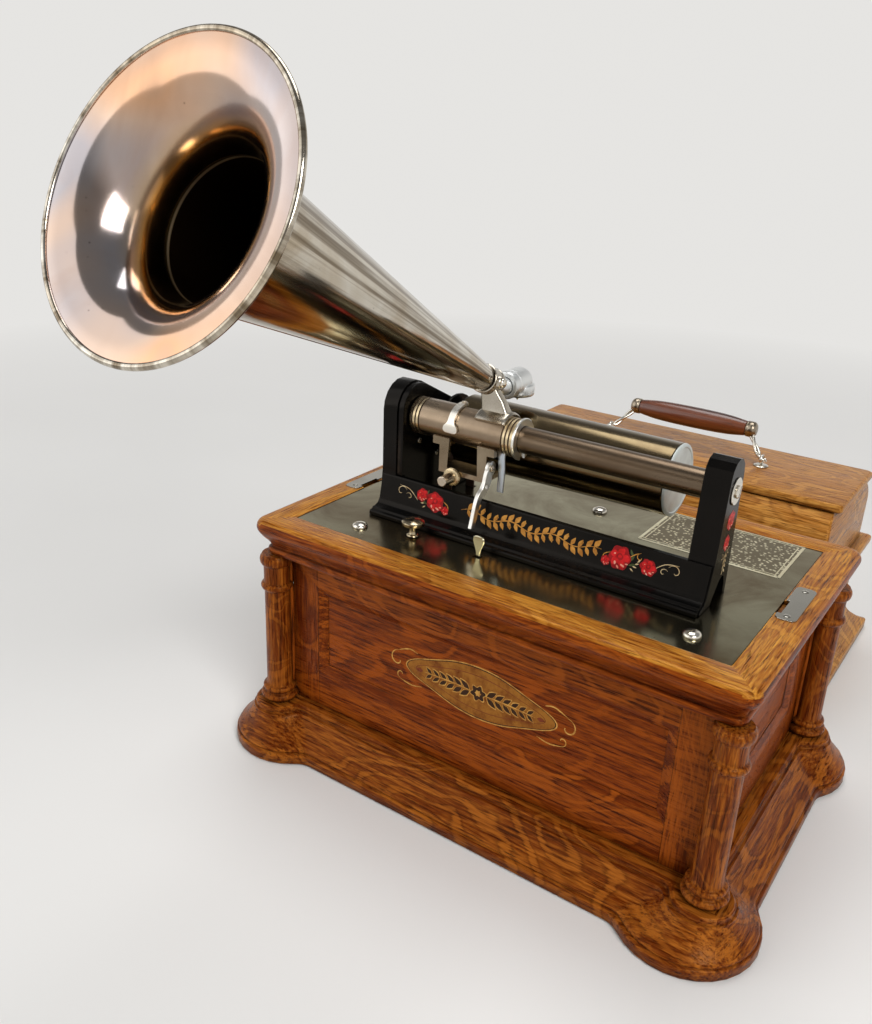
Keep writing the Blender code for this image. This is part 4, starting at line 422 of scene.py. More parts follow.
def axis_frame(origin, direction):
    x = Vector(direction).normalized()
    guide = Vector((0, 0, 1)) if abs(x.z) < 0.9 else Vector((0, 1, 0))
    y = guide.cross(x).normalized()
    m = Matrix((x, y, x.cross(y))).transposed().to_4x4()
    m.translation = Vector(origin)
    return m


def revolve(profile, place, segs, bm=None, mat=0, cap=True):
    """Turn (distance, radius) points; zero radius at both ends makes poles, else cap closes it."""
    bm = bm or bmesh.new()
    loops = []
    for d, r in profile:
        turns = [2 * math.pi * i / segs for i in range(segs)] if r else [0]
        loops.append([bm.verts.new(place @ Vector((d, r * math.cos(a), r * math.sin(a)))) for a in turns])
    pairs = list(zip(loops, loops[1:]))
    if not (len(loops[0]) == 1 and len(loops[-1]) == 1) and cap:
        pairs.append((loops[-1], loops[0]))
    for a, b in pairs:
        for i in range(segs):
            j = (i + 1) % segs
            if len(a) == 1:
                f = bm.faces.new((a[0], b[i], b[j]))
            elif len(b) == 1:
                f = bm.faces.new((a[i], a[j], b[0]))
            else:
                f = bm.faces.new((a[i], a[j], b[j], b[i]))
            f.material_index = mat
    return bm


def turned(name, profile, place, segs, mats, body, node=None, smooth=35.0):
    return finish_mesh(name, revolve(profile, place, segs), mats, body, node, smooth)


def rod(a, b, r, segs=24, bevel=0.0):
    a, b = Vector(a), Vector(b)
    n = (b - a).length
    prof = [(0, 0), (0, r), (n, r), (n, 0)]
    if bevel:
        prof = [(0, 0), (0, r - bevel), (bevel * 0.3, r - bevel * 0.3), (bevel, r), (n - bevel, r),
                (n - bevel * 0.3, r - bevel * 0.3), (n, r - bevel), (n, 0)]
    return revolve(prof, axis_frame(a, b - a), segs)


def box(x0, x1, y0, y1, z0, z1):
    return loft([[(x0, y0, z), (x1, y0, z), (x1, y1, z), (x0, y1, z)] for z in (z0, z1)])


def arc(cx, cy, r, a0, a1, n):
    return [(cx + r * math.cos(math.radians(a0 + (a1 - a0) * i / n)),
             cy + r * math.sin(math.radians(a0 + (a1 - a0) * i / n))) for i in range(n + 1)]


def curve(points, per=6):
    """Catmull-Rom curve through points of any size."""
    pts = [Vector(p) for p in points]
    out = []
    for i in range(len(pts) - 1):
        p0 = pts[max(i - 1, 0)]
        p1, p2 = pts[i], pts[i + 1]
        p3 = pts[min(i + 2, len(pts) - 1)]
        for k in range(per):
            t = k / per
            out.append(0.5 * ((2 * p1) + (p2 - p0) * t + (2 * p0 - 5 * p1 + 4 * p2 - p3) * t * t
                              + (3 * p1 - p0 - 3 * p2 + p3) * t ** 3))
    out.append(pts[-1])
    return [tuple(p) for p in out]


def headings(points):
    """The unit direction of a line at each of its points."""
    last = len(points) - 1
    return [(points[min(i + 1, last)] - points[max(i - 1, 0)]).normalized() for i in range(last + 1)]


def shares(points):
    """How far along its line each point comes, from 0 to 1."""
    return [i / (len(points) - 1) for i in range(len(points))]


def both_sides(points, widths):
    """The lines to the left and right of a flat line, at half widths given point by point."""
    points = [Vector(p) for p in points]
    rows = list(zip(points, headings(points), widths))
    return ([(p[0] - d[1] * w, p[1] + d[0] * w) for p, d, w in rows],
            [(p[0] + d[1] * w, p[1] - d[0] * w) for p, d, w in rows])


def sweep(path, radius, segs=16, bm=None):
    """A round wire along a path."""
    path = [Vector(p) for p in path]
    rings, side = [], None
    for p, ahead in zip(path, headings(path)):
        if side is None:
            guide = Vector((0, 0, 1)) if abs(ahead.z) < 0.9 else Vector((1, 0, 0))
            side = guide.cross(ahead).normalized()
        else:
            side = (side - ahead * side.dot(ahead)).normalized()
        other = ahead.cross(side)
        rings.append([p + radius * (math.cos(2 * math.pi * k / segs) * side
                                    + math.sin(2 * math.pi * k / segs) * other)
                      for k in range(segs)])
    return loft(rings, bm=bm)


def rounded(half_x, half_y, r, n=5):
    """A rectangle with rounded corners."""
    pts = []
    for k, (sx, sy) in enumerate(((1, 1), (-1, 1), (-1, -1), (1, -1))):
        pts += arc(sx * (half_x - r), sy * (half_y - r), r, 90 * k, 90 * k + 90, n)
    return pts


def plate(outline, to3d, thickness, bevel=0.0003):
    """A flat outline of (u, v) points given thickness along w, with softened edges."""
    n = len(outline)
    pts = [Vector(p) for p in outline]
    area = sum(pts[i][0] * pts[(i + 1) % n][1] - pts[(i + 1) % n][0] * pts[i][1] for i in range(n))
    sign = 1 if area > 0 else -1
    inner = []
    for i in range(n):
        before = (pts[i] - pts[i - 1]).normalized()
        after = (pts[(i + 1) % n] - pts[i]).normalized()
        t = before + after
        t = t.normalized() if t.length > 1e-6 else after
        inner.append(pts[i] + Vector((-t[1], t[0])) * sign * bevel)
    return loft([[to3d(p[0], p[1], w) for p in ring] for ring, w in
                 ((inner, 0), (pts, bevel), (pts, thickness - bevel), (inner, thickness))])


def soften(thing, name, width, angle, segments=2):
    """Rounds the sharp edges of a piece by a modifier."""
    mod = thing.modifiers.new(name, "BEVEL")
    mod.width, mod.segments = width, segments
    mod.limit_method, mod.angle_limit = "ANGLE", math.radians(angle)
    return mod


def dress(name, mat, bevel=0.0004, angle=30, segments=2):
    """Gives a kept CAD node its material and softened edges."""
    thing = nodes[name]
    thing.data.materials.clear()
    thing.data.materials.append(mat)
    thing.modifiers.new("weld", "WELD").merge_threshold = 0.00002
    soften(thing, "soft_edges", bevel, angle, segments).use_clamp_overlap = True
    thing.modifiers.new("normals", "WEIGHTED_NORMAL").keep_sharp = False


def carve(thing, cutter_bm, operation="DIFFERENCE"):
    """Cut a shape from a piece of this scene once, keeping its materials."""
    bmesh.ops.recalc_face_normals(cutter_bm, faces=cutter_bm.faces)
    mesh = bpy.data.meshes.new("cutter")
    cutter_bm.to_mesh(mesh)
    cutter_bm.free()
    tool = show("cutter", mesh)
    mod = thing.modifiers.new("carve", "BOOLEAN")
    mod.operation, mod.solver, mod.object = operation, "EXACT", tool
    bpy.context.view_layer.update()
    dg = bpy.context.evaluated_depsgraph_get()
    new = bpy.data.meshes.new_from_object(thing.evaluated_get(dg))
    thing.modifiers.remove(mod)
    new.name = thing.name
    thing.data = new
    new.set_sharp_from_angle(angle=math.radians(35))
    bpy.data.objects.remove(tool, do_unlink=True)


def add(thing, cutter_bm):
    carve(thing, cutter_bm, "UNION")


def screw(name, at, out, r, h, body, mat, dome=0.5, turn=20.0):
    """Slotted screw head with a domed top standing on the point, along the out direction."""
    place = axis_frame(at, out)
    flat = h * (1 - dome)
    prof = [(0, 0), (0, r * 0.96), (h * 0.08, r), (flat, r)]
    prof += [(flat + h * dome * math.sin(math.radians(a)), r * math.cos(math.radians(a)))
             for a in (20, 40, 58, 74)] + [(h, 0)]
    thing = turned(name, prof, place, 40, mat, body, smooth=40)
    c, s = math.cos(math.radians(turn)), math.sin(math.radians(turn))
    half_wide, half_long = r * 0.11, r * 1.1
    slot = [(a * half_long * c - b * half_wide * s, a * half_long * s + b * half_wide * c)
            for a, b in ((-1, -1), (1, -1), (1, 1), (-1, 1))]
    carve(thing, loft([[tuple(place @ Vector((d, a, b))) for a, b in slot] for d in (h * 0.62, h * 1.2)]))


# case

for name, seed in (("panel_front", 7.7), ("panel_back", 9.1)):
    dress(name, oak("oak_" + name, "x", FRONT, seed, 1.0, size=1.45), 0.0002)
for name in ("panel_left", "panel_right"):
    dress(name, oak("oak_" + name, "y", RAIL, 8.3, 0.7), 0.0002)
dress("bottom_board", oak_inside, 0.0006)


def frame_wood(name):
    """The case frame: rails with level grain between upright stiles, butted at fine dark joints."""
    s = Shader(name)
    stile_x, stile_y, wall, fade = 0.121, 0.0643, 0.1401, 0.0001
    place = s.axes(s.coord)
    facing = s.axes(s.node("NewGeometry").outputs["True Normal"])
    x, y = s.math("ABSOLUTE", place[0]), s.math("ABSOLUTE", place[1])
    end = s.math("GREATER_THAN", s.math("ABSOLUTE", facing[0]), s.math("ABSOLUTE", facing[1]))
    outside = s.span(x, wall - fade, wall + fade)
    inside = s.minus(1.0, outside)
    stile = s.most(s.times(s.span(x, stile_x - fade, stile_x + fade), inside),
                   s.times(outside, s.span(y, stile_y - fade, stile_y + fade)))
    rail_x, height_x, streak = grain(s, "x", RAIL, 14.2, 0.75)
    rail_y = grain(s, "y", RAIL, 15.1, 0.6)[0]
    post, height_z, _ = grain(s, "z", RAIL, 16.4, 0.6)
    colour = s.mix(stile, s.mix(s.times(end, outside), rail_x, rail_y), post)
    gaps = [s.times(s.span(s.math("ABSOLUTE", s.minus(value, joint)), 0.00035, 0.0001), where)
            for value, joint, where in ((x, stile_x, inside), (y, stile_y, outside))]
    gap = s.most(*gaps)
    colour = s.mix(s.times(gap, 0.8), colour, (0.012, 0.002, 0.001))
    height = s.minus(s.mix(stile, height_x, height_z), s.times(gap, 1.5))
    # a wider reach spreads the painted shade further from the joints
    return varnish(s, colour, height, streak, RAIL, 0.3, 0.012)


dress("case_frame", frame_wood("oak_frame"), 0.0003)


def base_ring(share, z, n=14, nf=6):
    """The lobed outline of the base, straight sides with round corner lobes."""
    ex, ey = WALL_X + 0.0077 + share * 0.0208, WALL_Y + 0.0077 + share * 0.0208
    cx, cy = COLUMN_X - share * 0.0088, COLUMN_Y - share * 0.0049
    r = 0.0155 + share * 0.0242
    f = 0.006 + share * 0.009
    sx, oy = ex + f, ey + f
    sy = cy - math.sqrt((r + f) ** 2 - (sx - cx) ** 2)
    ox = cx - math.sqrt((r + f) ** 2 - (oy - cy) ** 2)
    a = math.degrees(math.atan2(cy - sy, cx - sx))
    b = math.degrees(math.atan2(cy - oy, cx - ox))
    q = arc(sx, sy, f, 180, a, nf) + arc(cx, cy, r, a - 180, b + 180, n)[1:] + arc(ox, oy, f, b, -90, nf)[1:]
    q = [(ex, 0.0)] + q + [(0.0, ey)]
    pts = q[:-1] + [(-x, y) for x, y in reversed(q)][:-1] + [(-x, -y) for x, y in q][:-1]
    pts += [(x, -y) for x, y in reversed(q)][:-1]
    return [(x, y, z) for x, y in pts]


def base_piece():
    """Base moulding with its edge groove, long ogee and the step under the walls."""
    ogee = curve([(0.285, 0.9), (0.35, 0.885), (0.46, 0.66), (0.56, 0.49), (0.68, 0.325),
                  (0.8, 0.19), (0.855, 0.155)], 3)
    prof = [(0.0, 0.94), (0.012, 0.965), (0.045, 1.0), (0.1, 1.0), (0.165, 1.0),
            (0.225, 1.0), (0.255, 0.985), (0.272, 0.955), (0.279, 0.915)] + ogee
    prof += [(0.861, 0.12), (0.866, 0.08), (0.88, 0.066), (0.95, 0.064), (0.965, 0.06),
             (0.975, 0.035), (1.0, 0.0)]
    outer = [base_ring(share, h * BASE_HIGH) for h, share in prof]
    inner = [[(max(-0.1345, min(0.1345, x)), max(-0.0768, min(0.0768, y)), z) for x, y, _ in outer[-1]]
             for z in (BASE_HIGH, 0.0)]
    thing = finish_mesh("base_skin", loft(outer + inner, closed=True), [oak_base, oak_base_y], "case",
                        "base_moulding", 28)
    for f in thing.data.polygons:
        f.material_index = int(abs(f.center.x) - WALL_X > abs(f.center.y) - WALL_Y)


base_piece()

COLUMN_LOW, COLUMN_TOP, COLUMN_R = 0.0277, 0.1344, 0.0083
FILLET_X, FILLET_Y, FILLET_TOP = 0.1432, 0.0855, 0.1346
# the column's profile, as shares of its height and of its shaft's radius
FOOT = [(0, 0), (0, 1.3), (0.006, 1.36), (0.012, 1.4), (0.02, 1.49), (0.03, 1.53), (0.04, 1.5),
        (0.049, 1.42), (0.053, 1.34), (0.055, 1.26), (0.062, 1.22), (0.066, 1.23), (0.07, 1.29),
        (0.078, 1.34), (0.088, 1.345), (0.097, 1.29), (0.101, 1.2), (0.104, 1.1)]
SHAFT = [(0.108, 1.07), (0.116, 1.045), (0.14, 1.03), (0.3, 1.015), (0.55, 0.995), (0.74, 0.982),
         (0.76, 0.985), (0.766, 1.02)]
COLLAR = [(0.768, 1.1), (0.774, 1.17), (0.784, 1.235), (0.793, 1.245), (0.803, 1.2), (0.811, 1.12),
          (0.814, 1.03), (0.82, 1.005)]
CAP = [(0.87, 1.0), (0.915, 1.01), (0.925, 1.03), (0.931, 1.1), (0.936, 1.18), (0.945, 1.235),
       (0.965, 1.275), (0.98, 1.24), (0.987, 1.18), (0.992, 1.1), (1.0, 1.08), (1.0, 0)]


def column_piece(name, sx, sy):
    """Turned column with a slim fillet behind it, where it is let in to the case's corner."""
    h = COLUMN_TOP - COLUMN_LOW
    look = oak("oak_" + name, "z", BASE, 20 + sx * 2.3 + sy * 1.1, 0.35, size=0.6)
    turned(name + "_turned", [(d * h, r * COLUMN_R) for d, r in FOOT + SHAFT + COLLAR + CAP],
           axis_frame((sx * COLUMN_X, sy * COLUMN_Y, COLUMN_LOW), (0, 0, 1)), 48, look, "case", name, 50)
    x, y = sx * FILLET_X, sy * FILLET_Y
    fillet = rod((x, y, COLUMN_LOW), (x, y, FILLET_TOP), 0.0013, 16)
    finish_mesh(name + "_fillet", fillet, oak_fillet, "case")


for end, sy in (("front", -1), ("back", 1)):
    for side, sx in (("left", -1), ("right", 1)):
        column_piece("column_%s_%s" % (end, side), sx, sy)


def rim_piece():
    """Mitred top rim: flat top, full round nose, deep cove, a bead and the lid clips' pockets."""
    w, h, skin = 0.0205, 0.0235, 0.0003
    low = RIM_TOP - h
    step = (0.1551 - low) / h
    nose = [(0.8, 1.0), (0.86, 0.992), (0.915, 0.968), (0.955, 0.93), (0.985, 0.875),
            (1.0, 0.81), (1.0, 0.765), (0.985, 0.705), (0.955, 0.65)]
    cove = curve([(0.955, 0.65), (0.87, 0.535), (0.76, 0.42), (0.68, 0.32), (0.645, 0.235)], 4)
    bead = [(0.648, 0.215), (0.685, 0.205), (0.718, 0.175), (0.732, 0.125), (0.725, 0.07),
            (0.698, 0.025), (0.63, 0.0)]
    prof = [(skin / w, step), (skin / w, 0.985), (0.001 / w, 1.0)] + nose + cove[1:] + bead
    rings = []
    for u, v in prof + [(-0.006 / w, 0.0), (-0.006 / w, step)]:
        off = u * w
        outline = rounded(RIM_X + off, RIM_Y + off, max(0.0014, 0.45 * off), 10)
        rings.append([(x, y, low + v * h) for x, y in outline])
    thing = finish_mesh("rim_skin", loft(rings, closed=True),
                        [oak_top, oak_rim_face, oak_top_y, oak_rim_face_y], "case", "top_rim", 50)
    for f in thing.data.polygons:
        at_end = abs(f.center.x) - RIM_X > abs(f.center.y) - RIM_Y
        # upward faces take the lighter TOP tones, painted light from above; the nose and cove keep the rail
        # tones
        lit_from_above = f.center.z > 0.1545 and f.normal.z > 0.45
        f.material_index = (2 if at_end else 0) + (0 if lit_from_above else 1)
    pocket_near, pocket_far = 0.139, 0.1434
    for x0, x1 in ((-pocket_far, -pocket_near), (pocket_near, pocket_far)):
        carve(thing, box(x0, x1, -0.015, 0.002, 0.156, 0.16))


rim_piece()
for name in ("clip_left", "clip_right"):
    dress(name, clip_nickel, 0.00015)

# bedplate, castings and works that keep their solids
dress("bedplate", bed_nickel)
dress("iron_frame", black, 0.0009, 25, 3)
dress("gear_cover", black, 0.0008, 25, 3)
dress("escutcheon", nickel, 0.0003)
dress("tube_plug", steel, 0.0003)
dress("drive_belt", belt_leather, 0.0002)
dress("half_nut", brass, 0.0002)
dress("mandrel_pulley", black)
dress("drive_pulley", steel)
dress("yoke", yoke_metal, 0.0006, 25, 3)
for name in ("mandrel_gear", "idler_gear", "feed_gear", "drive_wheel", "second_wheel", "governor", "barrel"):
    dress(name, brass, 0.00015, 35, 1)
for name in ("mandrel_shaft", "feed_screw", "drive_arbor", "second_arbor", "winding_arbor",
             "motor_pillar_front", "motor_pillar_rear", "motor_plate_left", "motor_plate_right"):
    dress(name, steel, 0.0002, 35, 1)


# feed tube and sleeve

def c_ring(x, r_out, r_in, half_gap, n):
    """A C-shaped section open at the bottom, for the slotted feed tube and its sleeve."""
    a = math.degrees(math.asin(half_gap / r_out))
    b = math.degrees(math.asin(half_gap / r_in))
    section = arc(TUBE_Y, TUBE_Z, r_out, -90 + a, 270 - a, n) + arc(TUBE_Y, TUBE_Z, r_in, 270 - b, -90 + b, n)
    return [(x, y, z) for y, z in section]


tube = loft([c_ring(x, 0.008, 0.0062, 0.0023, 96) for x in (-0.0987, 0.104)])
finish_mesh("feed_tube_skin", tube, nickel_tube, "case", "feed_tube", 30)

SLEEVE_START, SLEEVE_END, SLEEVE_R = -0.0942, -0.0182, 0.0118
GROOVE_R = SLEEVE_R - 0.0008
PITCH = 0.0025
BODY, DARK, RING, FLANGE = range(4)


def sleeve_piece():
    """Sleeve with three grooves at each end, a bright flange and windows for the yoke and half nut."""
    x = SLEEVE_START + 0.0004
    steps = [(SLEEVE_START, 0.0113, RING), (SLEEVE_START + 0.0002, 0.0117, RING)]
    for k in range(3):
        steps += [(x, SLEEVE_R, RING), (x + 0.0014, SLEEVE_R, RING), (x + 0.0017, GROOVE_R, DARK),
                  (x + 0.0022, GROOVE_R, DARK)]
        x += PITCH
    steps += [(x, SLEEVE_R, BODY)]
    length = SLEEVE_END - 0.0019 - 3 * PITCH - x
    steps += [(x + length * k / 22, SLEEVE_R, BODY) for k in range(1, 23)]
    x = steps[-1][0]
    for k in range(3):
        steps += [(x + 0.0003, GROOVE_R, DARK), (x + 0.0008, GROOVE_R, DARK), (x + 0.0011, SLEEVE_R, RING),
                  (x + PITCH, SLEEVE_R, RING)]
        x += PITCH
    steps += [(x + 0.0002, SLEEVE_R, FLANGE), (x + 0.0003, 0.0124, FLANGE), (x + 0.0006, 0.0127, FLANGE),
              (SLEEVE_END - 0.0004, 0.0127, FLANGE), (SLEEVE_END, 0.0123, FLANGE)]
    bm = bmesh.new()
    loops = [[bm.verts.new(p) for p in c_ring(x, r, 0.0084, 0.0026, 88)] for x, r, _ in steps]
    for a, b, step in zip(loops, loops[1:], steps[1:]):
        bridge(bm, a, b, step[2])
    bm.faces.new(loops[0]).material_index = RING
    bm.faces.new(loops[-1]).material_index = FLANGE
    thing = finish_mesh("sleeve_skin", bm, [nickel_sleeve, groove, brass_ring, flange_bright], "carriage",
                        "sleeve", 30)
    carve(thing, box(-0.066, -0.049, TUBE_Y - 0.0003, TUBE_Y + 0.02, TUBE_Z + 0.003, TUBE_Z + 0.014))
    # room for the half nut when the carriage tilts
    carve(thing, box(-0.0598, -0.0462, TUBE_Y - 0.005, TUBE_Y + 0.0034, TUBE_Z - 0.014, TUBE_Z - 0.0002))


sleeve_piece()

# mandrel, slightly tapered, with its end cap
MANDREL_START, CAP_LIP = -0.0811, 0.0014
cap_at = 0.0652 - CAP_LIP - MANDREL_START
shell = cap_at - 0.0003
along_mandrel = axis_frame((MANDREL_START, MANDREL_Y, MANDREL_Z), (1, 0, 0))
prof = mm((0, 21.7), (0, 22.9), (0.4, 23.3))
prof += [(0.0004 + (shell - 0.0008) * k / 12, 0.0233 - 0.0013 * k / 12) for k in range(1, 13)]
prof += [(shell, 0.0217), (shell, 0.0204)]
turned("mandrel_skin", prof, along_mandrel, 128, nickel_mandrel, "mandrel_set", "mandrel")
prof = mm((-3, 0), (-3, 19.6), (0, 19.9), (0, 21.8), (0.2, 22), (0.6, 22), (1.1, 21.7), (1.4, 21),
          (1.4, 19.8), (1, 19.3), (1, 6), (1.3, 5.6), (1.3, 0))
turned("mandrel_cap_skin", [(cap_at + d, r) for d, r in prof], along_mandrel, 96, cap_grey, "mandrel_set",
       "mandrel_cap", 30)


# horn

HORN_START = Vector((-0.0451, -0.012, 0.2485))
TURNED, RAISED = math.radians(0.8), math.radians(26.0)
HORN_AIM = Vector((math.sin(TURNED) * math.cos(RAISED), -math.cos(TURNED) * math.cos(RAISED),
                   math.sin(RAISED)))
HORN = axis_frame(HORN_START, HORN_AIM)
HORN_SIDE, HORN_UP = HORN.to_3x3() @ Vector((0, 1, 0)), HORN.to_3x3() @ Vector((0, 0, 1))
CONE_START, CONE_LONG, CONE_R, CONE_SPREAD = 0.014, 0.2205, 0.0079, 0.023
BELL_START, BELL_LONG, BELL_SPREAD, SHEET = 0.2345, 0.033, 0.0301, 0.0006


def horn_metal(name, inside):
    """Nickel plate: outside, lengthwise tarnish that doubles as painted reflection; inside, warm painted
    reflections laid in as patina and, in the throat, painted shade past a sharp line.
    """
    s = Shader(name)
    distance = s.along(HORN_AIM, HORN_START)
    cloud = s.noise(16, detail=4.0, rough=0.6, distortion=0.7)
    if inside:
        broad = s.noise(s.mapping((7, 9, 7), shift=(0.35, 0.1, 0.6)), detail=1.6, distortion=1.1)
        # inside the bell: warm patches and a gold band toward the throat, painted reflections laid in as
        # patina
        patina_and_reflection = s.ramp(broad, [(0.36, (0.4, 0.37, 0.38)), (0.47, (0.6, 0.44, 0.34)),
                                (0.56, (0.68, 0.4, 0.24)), (0.68, (0.42, 0.3, 0.24))])
        col = s.mix(s.span(cloud, 0.42, 0.72, 0.0, 0.5), patina_and_reflection, (0.36, 0.21, 0.13))
        col = s.mix(s.times(s.span(distance, 0.256, 0.24), 0.8), col, (0.62, 0.38, 0.08))
        # painted shade: the inside of the cone, deep in the throat, goes nearly black
        throat_shade = s.span(distance, 0.2372, 0.235)
        col = s.mix(throat_shade, col, (0.02, 0.01, 0.004))
        r = s.plus(s.span(cloud, 0.3, 0.7, 0.09, 0.17), s.times(throat_shade, 0.3))
        line = s.times(s.span(distance, 0.2338, 0.2344), s.span(distance, 0.2356, 0.235))
        col = s.mix(s.times(line, 0.8), col, (0.8, 0.62, 0.38))
    else:
        # the vector changes round the horn but hardly along it
        angle = s.math("ARCTAN2", s.along(HORN_SIDE, HORN_START), s.along(HORN_UP, HORN_START))
        around = s.node("CombineXYZ", s.times(angle, 2.6), s.span(distance, 0.0, 0.6)).outputs[0]
        # dark lengthwise bands round the horn: tarnish that also paints the reflection streaks of a
        # surrounding room
        tarnish_and_reflection = s.noise(around, scale=2.2, detail=4.0, rough=0.62)
        col = s.mix(s.span(cloud, 0.36, 0.66), (0.7, 0.66, 0.58), (0.44, 0.35, 0.235))
        col = s.mix(s.span(tarnish_and_reflection, 0.43, 0.6, 0.0, 0.88), col, (0.13, 0.09, 0.048))
        r = s.span(cloud, 0.3, 0.7, 0.08, 0.17)
    col = s.mix(s.times(s.specks(240.0, 0.12, 0.05, 60, 0.58, 0.68), 0.6), col, (0.08, 0.05, 0.03))
    fine = s.noise(300)
    return s.set(Base_Color=col, Metallic=1.0, Roughness=r,
                 Normal=s.bump(s.plus(s.noise(34, detail=1.0), s.times(fine, 0.02)), 0.0007, 0.3))


def horn_piece():
    """The horn: a straight cone, a quarter-round bell, a rolled bead and the skin's inner side."""
    outer = mm((0, 5.8), (13.4, 5.8), (13.6, 7.6), (15, 7.9))
    outer += [(CONE_START + CONE_LONG * k / 10, CONE_R + CONE_SPREAD * k / 10) for k in range(1, 11)]
    throat = CONE_R + CONE_SPREAD
    for k in range(1, 23):
        a = math.pi / 2 * k / 22
        gone = BELL_LONG * math.sin(a)
        cone_on = throat + 0.112 * gone * max(0.0, 1 - gone / 0.014)
        outer.append((BELL_START + gone, max(throat + BELL_SPREAD * (1 - math.cos(a)), cone_on)))
    inner = []
    for i, (d, r) in enumerate(outer):
        a, b = outer[max(i - 1, 0)], outer[min(i + 1, len(outer) - 1)]
        n = math.hypot(b[0] - a[0], b[1] - a[1])
        inner.append((max(d + (b[1] - a[1]) / n * SHEET, 0), r - (b[0] - a[0]) / n * SHEET))
    inner[:2] = mm((0, 5.2), (13, 5.2))
    bead = arc(outer[-1][0] + 0.0002, throat + BELL_SPREAD + 0.0013, 0.0015, 235, -55, 16)
    bm = bmesh.new()
    for line, mat in ((outer + bead, 0), ([bead[-1]] + inner[::-1], 1), ([inner[0], outer[0]], 0)):
        revolve(line, HORN, 160, bm, mat, cap=False)
    bmesh.ops.remove_doubles(bm, verts=bm.verts, dist=0.000004)
    looks = [horn_metal("horn_outside", False), horn_metal("horn_inside", True)]
    finish_mesh("horn_skin", bm, looks, "carriage", "horn", 50)


horn_piece()

# seam wire along the cone's underside
seam = [HORN @ Vector((d, 0.0, -(CONE_R + CONE_SPREAD * (d - CONE_START) / CONE_LONG) - 0.00005))
        for d in (0.016, 0.06, 0.12, 0.18, 0.228)]
finish_mesh("horn_seam", sweep(seam, 0.00022, 8), nickel_bright, "carriage")

CLAMP_MIDDLE = HORN_START + 0.006 * HORN_AIM
SADDLE_LEFT, SADDLE_RIGHT = -0.0478, -0.0268
SADDLE_IN, SADDLE_OUT = SLEEVE_R + 0.0003, SLEEVE_R + 0.0027


def clamp_piece():
    """Horn clamp: ring, post, boss and saddle cast in one piece."""
    ring = mm((-0.25, 6.1), (-0.25, 8.4), (0.15, 8.8), (2, 8.8), (2.4, 8.5), (9.6, 8.5), (10, 8.8),
              (11.85, 8.8), (12.25, 8.4), (12.25, 6.1))
    clamp = turned("clamp_ring", ring, HORN, 72, nickel_cast, "carriage", "horn_clamp")
    top = arc(TUBE_Y, TUBE_Z, SADDLE_OUT, 42, 136, 22)
    under = arc(TUBE_Y, TUBE_Z, SADDLE_IN, 136, 42, 22)
    rings = []
    for x, ease in ((SADDLE_LEFT, 0.0012), (SADDLE_LEFT + 0.0008, 0.0003), (SADDLE_LEFT + 0.0018, 0.0),
                    (SADDLE_RIGHT - 0.0018, 0.0), (SADDLE_RIGHT - 0.0008, 0.0003), (SADDLE_RIGHT, 0.0012)):
        share = ease / SADDLE_OUT
        rings.append([(x, y + (TUBE_Y - y) * share, z + (TUBE_Z - z) * share) for y, z in top]
                     + [(x, y, z) for y, z in under])
    add(clamp, loft(rings))
    low = TUBE_Z + SLEEVE_R
    levels = []
    for t, left, right, half in ((0.0, 0.4, -0.4, 4.6), (0.1, 0.5, -1.8, 4.0), (0.24, 0.4, -3.4, 3.5),
                                 (0.45, 0, -5.6, 3.2), (0.7, -0.8, -9.4, 3.2), (1.0, -1.4, -12.6, 3.2)):
        x0, x1, half = SADDLE_LEFT + left / 1000, SADDLE_RIGHT + right / 1000, half / 1000
        y, z = TUBE_Y + (CLAMP_MIDDLE.y - TUBE_Y) * t, low + (CLAMP_MIDDLE.z - low) * t
        levels.append([(u + (x0 + x1) / 2, v + y, z) for u, v in rounded((x1 - x0) / 2, half, half * 0.6)])
    add(clamp, loft(levels))
    boss = mm((0, 0), (0, 4.6), (8.4, 4.3), (9.8, 4), (10.2, 3.6), (10.2, 0))
    add(clamp, revolve(boss, axis_frame(CLAMP_MIDDLE, HORN_SIDE), 40))
    carve(clamp, rod(HORN_START - 0.005 * HORN_AIM, HORN_START + 0.02 * HORN_AIM, 0.0061, 72))
    soften(clamp, "soft", 0.0003, 40)
    screw("clamp_screw", CLAMP_MIDDLE + 0.0102 * HORN_SIDE, HORN_SIDE, 0.0029, 0.0019, "carriage",
          nickel_bright, 0.6, 62)


clamp_piece()

NECK_X, NECK_Z = -0.0451, 0.2436


